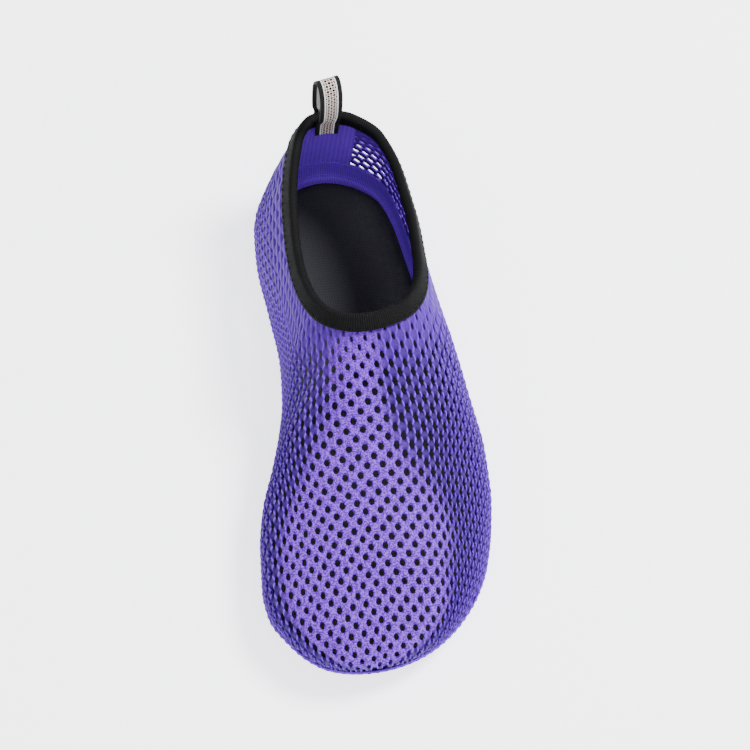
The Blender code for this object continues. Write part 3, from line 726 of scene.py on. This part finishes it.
def creaseDepth(points, samples=24):
    # sum of bell curves of the distance to each crease's line, fading at its ends and at the collar
    total = np.zeros(len(points))
    fade = ease(collarEdge(points[:, 1]) - points[:, 2], 0.002, 0.010)
    fade = np.where(stationOf(points[:, 1]) < 0.5, 1.0, fade)
    at = np.linspace(0, 1, samples)
    lengths = np.sin(np.pi * np.clip(at, 0.02, 0.98)) ** 0.6
    for side, knots, half, depth in creases:
        places = np.linspace(0, 1, len(knots))
        station, climb = (curveThrough(places, column)(at) for column in np.array(knots).T)
        near = np.full(len(points), 1.0)
        strength = np.zeros(len(points))
        for place, share in zip(onUpper(station, climb, side), lengths):
            apart = ((points - place) ** 2).sum(axis=1)
            strength = np.where(apart < near, share, strength)
            near = np.minimum(apart, near)
        total += depth * strength * np.exp(-near / (2 * (half * 0.6) ** 2))
    return total * fade


def meshFinish():
    look = Finish("stretchMesh")
    column, row = look.lattice("weave")
    share, round_ = look.lattice("zone")
    shut, _ = look.lattice("beside")
    cell = column.math("FLOOR")
    swing = (row * math.pi).math("COSINE") * (cell * math.pi).math("COSINE") * meshNet["cordSwing"]
    away = (column - cell - 0.5 - swing).math("ABSOLUTE")
    cord = (1 - away / meshNet["cordHalf"]).held()
    twist = (row * 4.0 + away * 3.0).wave()
    fine = (column * 2.0 + swing * 1.2).wave()
    fuzz = look.noise(2600.0, 2.0, 0.6)
    speck = ((look.noise(1500.0, 1.0) - 0.5) * 6.0 + 0.5).held()
    # The slack sides' cords: a painted highlight along each cord's crest and painted shade toward the holes
    # and down their walls, over the cord's twist and fuzz
    cordHighlightAndShade = (cord * cord * 0.85 + twist * cord * 0.2 + fuzz * 0.15 - share * 0.2).held()
    # Ribbed fabric beside the collar: its fine ribs, in darker colours that partly stand in for the shade
    # there
    ribbed = look.mix((fine * 0.55 + fuzz * 0.4).held(), "meshDark", "meshMiddle")
    slack = look.mix(shut * 0.85, look.mix(cordHighlightAndShade, "meshGapShade", "meshBright"), ribbed)
    # Stretched knit: its specks and fuzz, with painted shade down the hole walls
    knit = (speck * 0.75 + fuzz * 0.3 - share * 0.15).held()
    colour = look.mix(round_.held(), slack, look.mix(knit, "meshDark", "meshLight"))
    colour = look.mix(look.noise(45.0) * 0.25, colour, "meshMiddle")
    corded = (cord * 1.4 + twist * cord * 0.5) * (1 - round_) * (1 - shut * 0.8)
    height = corded + fine * shut + speck * round_ * 0.7 + fuzz * 0.3
    return look.finish(Base_Color=colour, Roughness=0.66 - fuzz * 0.12, Specular_IOR_Level=0.18,
                       Normal=look.bump(height, 0.00016, 0.9))


meshMaterial = meshFinish()
medialSide = (np.arange(nodes.shape[1]) < meshNet["columns"])[None, :]
dress(netPiece("medialMesh", kept & medialSide), meshMaterial, "upper")
dress(netPiece("lateralMesh", kept & ~medialSide), meshMaterial, "upper")

# The collar's folded elastic tape, swept round the collar with fine cross ribs
bindingTape = {
    "thickness": 0.0010,
    "drop": 0.0062,
    "innerShare": 0.85,
    "ribs": 300,
    "stepsPerRib": 4,
    "ribHeight": 0.00010,
}


def tapeFold():
    # the fold's section: offset from the wall, drop below the edge, weight of the ribs
    skin = last["curvedGap"] + bindingTape["thickness"]
    wall, gap = last["wall"], last["curvedGap"]
    drop, innerDrop = bindingTape["drop"], bindingTape["drop"] * bindingTape["innerShare"]
    outer = [(skin * s, drop * d, w) for s, d, w in (
        (0.55, 1.0, 0.0), (0.85, 0.985, 0.3), (1.0, 0.93, 1.0), (1.02, 0.8, 1.0), (0.97, 0.55, 1.0),
        (1.0, 0.3, 1.0), (1.0, 0.12, 1.0))]
    turn = np.linspace(0, np.pi, 9)
    half = (wall + 2 * skin) / 2
    crest = [(half * math.cos(a) - wall / 2, -skin * 1.1 * math.sin(a), 1.0) for a in turn]
    inner = [(-wall - skin * s, innerDrop * d, w) for s, d, w in (
        (1.0, 0.2, 1.0), (1.0, 0.6, 1.0), (1.0, 0.94, 1.0), (0.7, 1.0, 0.0))]
    back = [(-wall - gap, innerDrop * 0.97, 0.0), (-wall - gap, innerDrop / 2, 0.0),
            (-wall - gap, -gap, 0.0), (gap, -gap, 0.0), (gap, drop / 2, 0.0), (gap, drop * 0.98, 0.0)]
    return np.array(outer + crest + inner + back)


def makeBinding():
    count = bindingTape["ribs"] * bindingTape["stepsPerRib"]
    points, normals, down = collarFrames(np.linspace(0, collarTravel[-1], count, endpoint=False))
    fold = tapeFold()
    travel = np.arange(count) / bindingTape["stepsPerRib"]
    rib = np.sin(travel * 2 * np.pi) * bindingTape["ribHeight"]
    offset, drop, weight = fold.T
    onto = ontoForm(points[:, None] + down[:, None] * np.maximum(drop, 0.0)[None, :, None], 4)
    outward = np.where(drop[None, :, None] > 0, normalsAt(onto)[0], normals[:, None])
    bulge = rib[:, None] * (weight * np.sign(offset + last["wall"] / 2))[None, :]
    onto = onto + outward * (offset[None, :] + bulge)[..., None]
    onto = onto + down[:, None] * np.minimum(drop, 0.0)[None, :, None]
    width = lengthsAlong(fold[:, :2]) * 1000
    return makeGrid("collarTape", onto, True, True, weave=(travel[:, None], width[None, :]))


def bindingFinish():
    look = Finish("ribbedElastic")
    travel, width = look.lattice("weave")
    rib = travel.wave()
    weave = (width * 1.6 + travel * 0.5).wave()
    fuzz = look.noise(2200.0, 2.0, 0.6)
    # Lighter on the rib crests, a painted highlight, and with the weave and fuzz of its fibres
    colour = look.mix(weave * 0.3 + rib * 0.4 + fuzz * 0.3, "tapeBlack", "tapeGrey")
    return look.finish(Base_Color=colour, Roughness=0.55 + look.noise(90.0, 3.0, 0.6) * 0.25,
                       Specular_IOR_Level=0.12,
                       Normal=look.bump(rib * 0.8 + weave * 0.5 + fuzz * 0.4, 0.00012, 0.8))


dress(makeBinding(), bindingFinish(), "collar_binding")

# Plain knitted band along the sole, of the mesh's colour
edgeBand = {
    "columns": 640,
    "rows": 12,
    "height": (0.0034, 0.0052),  # over the sole's edge, at the toe and at the heel
    "bottom": 0.86,              # lowest line as a share of the form's depth under its widest line
    "roll": (-0.06, 0.10),       # shares of the width over which its top edge rises
    "offset": 0.00055,
    "underOffset": 0.00015,
    "buried": 0.00025,
    "course": 0.5,               # millimetres between two rows, for the knit
    "reach": 0.040,
}

# Lining strip inside, which closes the lowest rows of holes
liner = {"height": (0.0066, 0.0125), "bottom": 0.88, "roll": (-1.0, 0.0), "offset": -0.0014,
         "underOffset": -0.0014, "buried": 0.0019, "course": 0.7}

# Flat seam down the heel, and the stay that backs it inside
heelSeam = {"width": 0.0056, "top": 0.0590, "bottom": 0.0105, "rows": 90, "columns": 11, "offset": 0.00050,
            "buried": 0.00025}
heelStay = {"width": 0.0300, "top": 0.0570, "bottom": 0.0110, "rows": 60, "columns": 27, "offset": -0.0014,
            "buried": 0.0018}


def outlineRing(count, share=1.0, endInset=0.0):
    # plan outline at even steps, with outward directions and the lengths along it
    shares = (1 - np.cos(np.linspace(0, np.pi, 600))) / 2
    size = sizesAt(shares)
    y = placeOf(0.0) + endInset + shares * (length - 2 * endInset)
    medial = np.stack([size["centre"] - share * np.sqrt(size["medial"]), y], axis=1)
    lateral = np.stack([size["centre"] + share * np.sqrt(size["lateral"]), y], axis=1)
    ring, travel = closedLine(medial, lateral)
    at = np.linspace(0, travel[-1], count, endpoint=False)
    ring = pointsAt(ring, travel, at)
    along = unit(np.roll(ring, -1, axis=0) - np.roll(ring, 1, axis=0))
    outward = np.stack([-along[:, 1], along[:, 0]], axis=1)
    return ring, outward * np.sign((outward * (ring - shift[:2])).sum(axis=1).mean()), at


def bandSurface(ring, outward, depth):
    # point of the form under the widest line at a share of its depth, inward from the outline
    size = sizesAt(stationOf(ring[:, 1]))
    full = last["edgeFullness"]
    inset = (1 - (1 - depth**full) ** (1 / full)) * edgeBand["reach"]
    flat = ring[:, None] - outward[:, None] * inset[..., None]
    height = size["level"][:, None] - size["widest"][:, None] * depth
    return ontoForm(np.concatenate([flat, height[..., None]], axis=2), 8)


def soleEdgeDepth():
    full = last["edgeFullness"]
    return (1 - last["soleShare"] ** full) ** (1 / full)


def shell(surface, offset, buried):
    # closed sleeve over a strip: the raised face, then the buried face back
    normals, _ = normalsAt(surface)
    over = surface + normals * offset[..., None]
    under = surface - normals * buried
    return np.concatenate([over, under[:, ::-1]], axis=1)


def bandHeight(ring, strip):
    return between(*strip["height"], ease(stationOf(ring[:, 1]), 0.70, 0.88))


def makeBand(name, strip):
    ring, outward, travel = outlineRing(edgeBand["columns"])
    sole = soleEdgeDepth()
    top = np.maximum(sole - bandHeight(ring, strip) / sizesAt(stationOf(ring[:, 1]))["widest"], 0.03)
    share = np.linspace(0, 1, edgeBand["rows"])
    depth = between(top[:, None], strip["bottom"], share)
    offset = between(strip["offset"], strip["underOffset"], ease(depth, sole - 0.10, sole))
    surface = bandSurface(ring, outward, depth)
    points = shell(surface, offset * ease(share, *strip["roll"]), strip["buried"])
    course = np.arange(points.shape[1]) * strip["course"]
    return makeGrid(name, points, True, True, weave=(travel[:, None] * 1000, course[None, :]))


def heelSurface(across, heights, station=0.97):
    # points down the middle of the heel's back, at distances to either side
    size = sizesAt(np.array([station]))
    x = size["centre"] + size["lean"] * climbOf(size, heights)
    across, heights, x = np.broadcast_arrays(across[None, :], heights[:, None], x[:, None])
    return ontoForm(np.stack([x + across, np.full(x.shape, placeOf(1.0)), heights], axis=-1), 10)


def makeHeelStrip(name, strip):
    across = np.linspace(-0.5, 0.5, strip["columns"]) * strip["width"]
    heights = np.linspace(strip["top"], strip["bottom"], strip["rows"])
    surface = heelSurface(across, heights)
    rolled = 1 - np.abs(across / across[-1]) ** 6 if strip["offset"] > 0 else np.ones(len(across))
    points = shell(surface, np.broadcast_to(rolled * strip["offset"], surface.shape[:2]), strip["buried"])
    course = np.arange(points.shape[1]) * edgeBand["course"]
    return makeGrid(name, points, False, True, weave=(heights[:, None] * 1000, course[None, :]))


def bandFinish():
    look = Finish("knitBand")
    travel, width = look.lattice("weave")
    rib = (travel * 1.1).wave()
    course = (width + ((travel * 0.55).wave() - 0.5) / math.pi).wave()
    knit = (rib * 0.45 + course * 0.25 + look.noise(2400.0, 2.0, 0.6) * 0.3).held()
    colour = look.mix(look.noise(60.0, 3.0, 0.6) * 0.3, look.mix(knit, "meshDark", "meshBright"), "meshDark")
    return look.finish(Base_Color=colour, Roughness=0.7, Specular_IOR_Level=0.3,
                       Normal=look.bump(knit, 0.00022, 0.9))


bandMaterial = bandFinish()
dress(makeBand("edgeBand", edgeBand), bandMaterial, "upper")
dress(makeHeelStrip("heelSeam", heelSeam), bandMaterial, "upper")
dress(makeBand("innerBand", liner), bandMaterial, "upper")
dress(makeHeelStrip("heelStay", heelStay), bandMaterial, "upper")

# Sewing threads: short capsules that rise out of the fabric and dip back
stitching = {"rings": 7, "sides": 6, "radius": 0.00021, "lift": 0.00022}


def makeStitches(name, starts, ends, normals, radius):
    rings, sides = stitching["rings"], stitching["sides"]
    t = np.linspace(0, 1, rings)
    turn = np.arange(sides) * 2 * np.pi / sides
    along = unit(ends - starts)
    beside = unit(np.cross(normals, along))
    swell = np.maximum(1 - np.abs(2 * t - 1) ** 4, 0.0) ** 0.5 * radius
    middle = starts[:, None] + (ends - starts)[:, None] * t[None, :, None]
    middle = middle + normals[:, None] * (stitching["lift"] * np.sin(np.pi * t) - radius * 0.4)[None, :, None]
    circle = np.cos(turn)[:, None] * beside[:, None, None] + np.sin(turn)[:, None] * normals[:, None, None]
    points = middle[:, :, None] + circle * swell[None, :, None, None]
    faces = gridFaces(rings, sides, False, True)
    faces = faces[None] + (np.arange(len(starts)) * rings * sides)[:, None, None]
    return makeMesh(name, points.reshape(-1, 3), faces.reshape(-1, 4))


def threadFinish(name, colour):
    look = Finish(name)
    ply = look.noise(3200.0, 1.0)
    return look.finish(Base_Color=look.mix(ply * 0.45 + 0.55, "black", colour), Roughness=0.7 + ply * 0.2,
                       Specular_IOR_Level=0.12, Normal=look.bump(ply, 0.00006, 0.8))


def collarStitches(pitch=0.0031, part=0.68):
    count = int(collarTravel[-1] / pitch)
    places = np.arange(count) * collarTravel[-1] / count
    lift = last["curvedGap"] + bindingTape["thickness"]

    def tapeAt(at):
        points, normals, down = collarFrames(at)
        onto = ontoForm(points + down * bindingTape["drop"] * 0.80, 4)
        outward, _ = normalsAt(onto)
        return onto + outward * lift, outward

    starts, _ = tapeAt(places)
    ends, _ = tapeAt(places + pitch * part)
    _, outward = tapeAt(places + pitch * part / 2)
    return makeStitches("collarStitches", starts, ends, outward, stitching["radius"])


def seamStitches(pitch=0.0033, part=0.68):
    count = int((heelSeam["top"] - 0.008 - heelSeam["bottom"]) / pitch)
    tops = heelSeam["top"] - 0.006 - np.arange(count) * pitch
    across = np.array([-0.30, 0.30]) * heelSeam["width"]
    starts = heelSurface(across, tops)
    ends = heelSurface(across, tops - pitch * part)
    normals, _ = normalsAt((starts + ends) / 2)
    lift = normals * heelSeam["offset"]
    return makeStitches("seamStitches", (starts + lift).reshape(-1, 3), (ends + lift).reshape(-1, 3),
                        normals.reshape(-1, 3), stitching["radius"])


def bandStitches(pitch=0.0036, around=0.61):
    # each stitch is a third point of the outline to the next but one
    ring, outward, _ = outlineRing(int(around / pitch) * 3)
    size = sizesAt(stationOf(ring[:, 1]))
    depth = (soleEdgeDepth() - bandHeight(ring, edgeBand) * 0.72 / size["widest"])[:, None]
    line = bandSurface(ring, outward, depth)[:, 0]
    normals, _ = normalsAt(line)
    line = line + normals * edgeBand["offset"]
    return makeStitches("bandStitches", line[0::3], line[2::3], normals[1::3], stitching["radius"])


blackThread = threadFinish("blackThread", "threadBlack")
violetThread = threadFinish("violetThread", "threadViolet")
dress(collarStitches(), blackThread, "collar_binding")
dress(seamStitches(), violetThread, "upper")
dress(bandStitches(), violetThread, "upper")


# Insole: a foam board with a knitted cover, its edge turned up along the wall
insolePad = {
    "share": 0.925,
    "endInset": 0.0050,
    "columns": 420,
    "rings": 34,
    "clear": 0.0005,
    "thickness": 0.0024,
    "edgeThickness": 0.0014,
    "spine": (0.16, 0.86),       # stations between which the rings close on the middle line
}


def makeInsole():
    ring, _, _ = outlineRing(insolePad["columns"], insolePad["share"], insolePad["endInset"])
    low, high = (placeOf(station) for station in insolePad["spine"])
    spineY = np.clip(ring[:, 1], low, high)
    spine = np.stack([sizesAt(stationOf(spineY))["centre"], spineY], axis=1)
    share = 1 - (1 - np.linspace(0, 1, insolePad["rings"])) ** 1.5
    flat = between(spine[:, None], ring[:, None], share[None, :, None])
    surface = np.concatenate([flat, undersideHeight(flat[..., 0], flat[..., 1])[..., None]], axis=2)
    normals, _ = normalsAt(surface)
    seat = surface - normals * (last["wall"] + insolePad["clear"])
    thick = between(insolePad["thickness"], insolePad["edgeThickness"], ease(share, 0.90, 1.0))
    top = seat - normals * (thick * np.where(share > 0.985, 0.62, 1.0))[None, :, None]
    uv = np.concatenate([flat, flat[:, ::-1]], axis=1) * 1000
    points = np.concatenate([top, seat[:, ::-1]], axis=1)
    return closeDoubles(makeGrid("insolePad", points, True, False, weave=(uv[..., 0], uv[..., 1])))


def closeDoubles(piece, distance=2e-6):
    # merges the coincident points where rings or columns meet, and turns faces outward
    shape = bmesh.new()
    shape.from_mesh(piece.data)
    bmesh.ops.remove_doubles(shape, verts=shape.verts, dist=distance)
    bmesh.ops.recalc_face_normals(shape, faces=shape.faces)
    shape.to_mesh(piece.data)
    shape.free()
    return piece


def insoleFinish():
    look = Finish("insoleCover")
    x, y = look.lattice("weave")
    wale = (x * 0.9 + ((y * 0.45).wave() - 0.5) * 0.24).wave()
    weave = (wale * 0.4 + (y * 0.75).wave() * 0.3 + look.noise(1800.0, 3.0, 0.6) * 0.35).held()
    pressed = look.noise(26.0)
    colour = look.mix(pressed * 0.4, look.mix(weave, "insoleDark", "insoleLight"), "insoleDark")
    return look.finish(Base_Color=colour, Roughness=0.9, Specular_IOR_Level=0.25,
                       Normal=look.bump(weave + pressed * 1.5, 0.00022, 0.8))


dress(makeInsole(), insoleFinish(), "insole")

# Pull loop: a woven tape over the collar at the heel
pullLoop = {
    "width": 0.0105,
    "thickness": 0.0010,
    "height": 0.0255,
    "bulge": 0.0050,
    "lean": math.radians(10),
    "turn": math.radians(12),
    "freeFrom": 0.12,
    "samples": 150,
    "bindingThickness": 0.0010,
    "seat": 0.00055,             # over the binding's outer face
    "edgeBlack": 3.25,           # millimetres from the middle line
    "edgeWhite": 2.65,
    "motif": (2.65, 2.30),
}
# the loop's side line: height and distance from the middle of the wall, as shares
loopRows = (
    (-0.42, 0.66), (-0.21, 0.66), (0.00, 0.70), (0.12, 0.87), (0.30, 0.98), (0.50, 1.00),
    (0.70, 0.93), (0.86, 0.70), (0.96, 0.38), (1.00, 0.00),
)


def tapeSection():
    # closed section of the tape: places across, places through the thickness, thicker selvedges
    half, thick = pullLoop["width"] / 2, pullLoop["thickness"] / 2
    across = np.linspace(-1, 1, 15)
    body = thick * (0.86 + 0.14 * ease(np.abs(across), 0.60, 0.75))
    face = np.stack([across * half * 0.985, body], axis=1)
    edge = np.array([[half, thick * 0.55], [half * 1.004, 0.0], [half, -thick * 0.55]])
    return np.vstack([face, edge, face[::-1] * [1, -1], -edge])


def makeLoop():
    # below the collar's edge each leg lies on the wall, above it the tape stands free, leant and turned
    centre, back, down = (part[0] for part in collarFrames(np.array([collarHeel])))
    lean, turn = pullLoop["lean"], pullLoop["turn"]
    section = tapeSection()
    seats, _, _ = collarFrames(collarHeel + section[:, 0])
    freeUp = -down * math.cos(lean) + back * math.sin(lean)
    freeBack = back * math.cos(lean) + down * math.sin(lean)
    side = np.cross(freeUp, freeBack)
    side = side * math.copysign(1.0, ((seats[14] - seats[0]) * side).sum())
    turnedSide = side * math.cos(turn) + freeBack * math.sin(turn) * np.sign(side[0])
    turnedBack = np.cross(turnedSide, freeUp)
    turnedBack = turnedBack * math.copysign(1.0, (turnedBack * back).sum())
    middle = -last["wall"] / 2
    clear = last["curvedGap"] + pullLoop["bindingThickness"] + last["gap"] + pullLoop["seat"] - middle
    rows = np.array(loopRows) * [pullLoop["height"], pullLoop["bulge"]]
    depth = np.where(rows[:, 0] <= 0, np.maximum(rows[:, 1], clear), rows[:, 1])
    path = np.vstack([np.stack([rows[:, 0], middle + depth], axis=1),
                      np.stack([rows[-2::-1, 0], middle - depth[-2::-1]], axis=1)])
    travel = lengthsAlong(path)
    at = np.linspace(0, travel[-1], pullLoop["samples"])
    spine = np.stack([curveThrough(travel, column)(at) for column in path.T], axis=1)
    along = unit(np.gradient(spine, axis=0))
    across = np.stack([-along[:, 1], along[:, 0]], axis=1)
    across = across * np.sign(across[0, 1])
    reach = spine[:, None] + across[:, None] * section[None, :, 1:]
    height, offset = reach[..., 0:1], reach[..., 1:2]
    follow = seats[None] + back * offset - down * height
    onWall = ontoForm(seats[None] - down * np.minimum(height, 0.0), 4) + back * offset
    free = centre + back * middle + turnedBack * (offset - middle) + freeUp * height
    free = free + section[None, :, 0:1] * turnedSide
    share = np.clip(height / (pullLoop["freeFrom"] * pullLoop["height"]), 0, 1)
    points = np.where(height <= 0, onWall, follow * (1 - share) + free * share)
    first, end = (np.broadcast_to(row.mean(axis=0), row.shape)[None] for row in (points[0], points[-1]))
    points = np.concatenate([first, points, end])
    at = np.concatenate([at[:1], at, at[-1:]])[:, None]
    piece = makeGrid("wovenLoop", points, False, True, weave=(section[None, :, 0] * 1000, at * 1000),
                     zone=(np.sign(section[None, :, 1]) * 0.5 + 0.5, at))
    return closeDoubles(piece, 1e-7), points


def loopFinish():
    look = Finish("wovenTape")
    across, travel = look.lattice("weave")
    outer, _ = look.lattice("zone")
    far = across.math("ABSOLUTE")
    black = far.math("GREATER_THAN", pullLoop["edgeBlack"])
    wide, tall = (2 * math.pi / size for size in pullLoop["motif"])
    diamond = (across * wide).math("COSINE") * (travel * tall).math("COSINE")
    fuzz = look.noise(3000.0, 2.0, 0.6)
    thread = (travel * 2.4).wave()
    face = look.mix(diamond.math("LESS_THAN", -0.30), "loopWhite", "loopTan")
    face = look.mix(diamond.math("GREATER_THAN", 0.16), face, "threadBlack")
    face = look.mix(far.math("GREATER_THAN", pullLoop["edgeWhite"]), face, "loopWhite")
    face = look.mix(outer.math("GREATER_THAN", 0.5), "loopBack", face)
    face = look.mix(black, face, "tapeBlack")
    face = look.mix(thread * 0.16 + fuzz * 0.10, face, "tapeGrey")
    return look.finish(Base_Color=face, Roughness=0.62 + fuzz * 0.2, Specular_IOR_Level=0.25,
                       Normal=look.bump(thread * 0.7 + fuzz * 0.5 + black * 0.6, 0.00012, 0.9))


loop, loopPoints = makeLoop()
dress(loop, loopFinish(), "pull_loop")


def loopStitches(rows=(5, 7, 15, 17)):
    # two bar tacks across the outer leg: each two rows of short threads laid across the tape
    face = loopPoints[:, :15]
    _, back, _ = collarFrames(np.array([collarHeel]))
    starts, ends, normals = [], [], []
    for row in rows:
        line = face[row]
        out = unit(np.cross(face[row + 1] - line, np.gradient(line, axis=0)))
        out = out * np.sign((out * back).sum(axis=1, keepdims=True))
        starts.append(line[1:-2])
        ends.append(line[1:-2] * 0.18 + line[2:-1] * 0.82)
        normals.append(out[1:-2])
    return makeStitches("loopStitches", np.vstack(starts), np.vstack(ends), np.vstack(normals), 0.00018)


dress(loopStitches(), blackThread, "pull_loop")


def rubberFinish():
    # matte moulded rubber, scuffed where it meets the ground and along its edge
    look = Finish("mouldedRubber")
    z = look.parts(look.place)[2]
    grain = look.noise(1500.0)
    pebble = look.add("ShaderNodeTexVoronoi", {"feature": "SMOOTH_F1"}, Vector=look.place, Scale=900.0)
    low = (1 - z / 0.0022).held()
    worn = ((look.noise(140.0, 4.0, 0.65) - 0.42) * 2.6 * (low * 0.8 + 0.25)).held()
    return look.finish(Base_Color=look.mix(worn, "rubberDark", "rubberScuffed"),
                       Roughness=0.55 + worn * 0.25 + grain * 0.1, Specular_IOR_Level=0.4,
                       Normal=look.bump(pebble * 0.8 + grain * 0.5, 0.00012, 0.7))


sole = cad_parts["outsole"]
sole.data.materials.clear()
sole.data.materials.append(rubberFinish())
print("sole dressed")

# Camera: the photograph's direction and distance, turned to centre the one shoe
camera = {
    "place": (-0.0918, -0.3721, 0.8089),
    "right": (0.99337, -0.11494, 0.0),
    "look": (0.0504, 0.4355, -0.8988),
    "across": 0.0638,
    "up": 0.0045,
    "lens": 95.5,
    "sensor": 36.0,
}

# Soft lamps: name, place, target, size, power
lamps = (
    ("key", (0.85, 0.35, 1.25), (0, 0, 0), 0.50, 50),
    ("fill", (-0.9, -0.5, 1.2), (0, 0, 0), 1.3, 8),
    ("front", (0.15, -1.2, 1.2), (0, 0, 0.02), 1.1, 12),
)
room = {
    "colour": (0.93, 0.94, 1.0, 1.0),
    "strength": 0.6,
    "floorGlow": 2.3,
    "floorMiddle": 0.05,
    "floorEdge": 4.0,
}


def stand(thing, side, above, back, place):
    matrix = np.eye(4)
    matrix[:3] = np.stack([side, above, back, place], axis=1)
    thing.matrix_world = Matrix(matrix)
    bpy.context.scene.collection.objects.link(thing)


def placeCamera():
    right, look = np.array(camera["right"]), unit(np.array(camera["look"]))
    aim = unit(look + camera["across"] * right + camera["up"] * np.cross(right, look))
    right = unit(right - right.dot(aim) * aim)
    eye = bpy.data.objects.new("camera", bpy.data.cameras.new("camera"))
    eye.data.lens, eye.data.sensor_width = camera["lens"], camera["sensor"]
    eye.data.clip_start, eye.data.clip_end = 0.01, 20.0
    stand(eye, right, np.cross(right, aim), -aim, camera["place"])
    bpy.context.scene.camera = eye


def addLamp(name, place, target, size, power):
    lamp = bpy.data.objects.new(name, bpy.data.lights.new(name, "AREA"))
    lamp.data.shape = "DISK"
    lamp.data.size, lamp.data.energy = size, power
    back = unit(np.array(place) - np.array(target))
    side = unit(np.cross(np.array([0.0, 1.0, 0.2]), back))
    stand(lamp, side, np.cross(back, side), back, place)


def makeFloor(sides=96):
    # a plain disc, pale and matte, with its middle closed
    turn = np.arange(sides) * 2 * np.pi / sides
    ring = np.stack([np.cos(turn), np.sin(turn), np.zeros(sides)], axis=1)
    look = Finish("paleFloor")
    material = look.finish(Base_Color="floor", Roughness=0.9, Emission_Color="floorGlow",
                           Emission_Strength=room["floorGlow"])
    inner = np.arange(sides)
    middle = np.vstack([ring * room["floorMiddle"], [[0.0, 0.0, 0.0]]])
    fan = np.stack([np.full(sides, sides), inner, (inner + 1) % sides], axis=1)
    floor = makeGrid("floor", np.stack([ring * room["floorMiddle"], ring * room["floorEdge"]]), False, True)
    cap = makeMesh("floorMiddle", middle, fan)
    for piece in (floor, cap):
        piece.data.materials.append(material)


makeFloor()
placeCamera()
for lamp in lamps:
    addLamp(*lamp)
world = bpy.data.worlds.new("softRoom")
world.use_nodes = True
background = world.node_tree.nodes["Background"]
background.inputs[0].default_value = room["colour"]
background.inputs[1].default_value = room["strength"]
bpy.context.scene.world = world
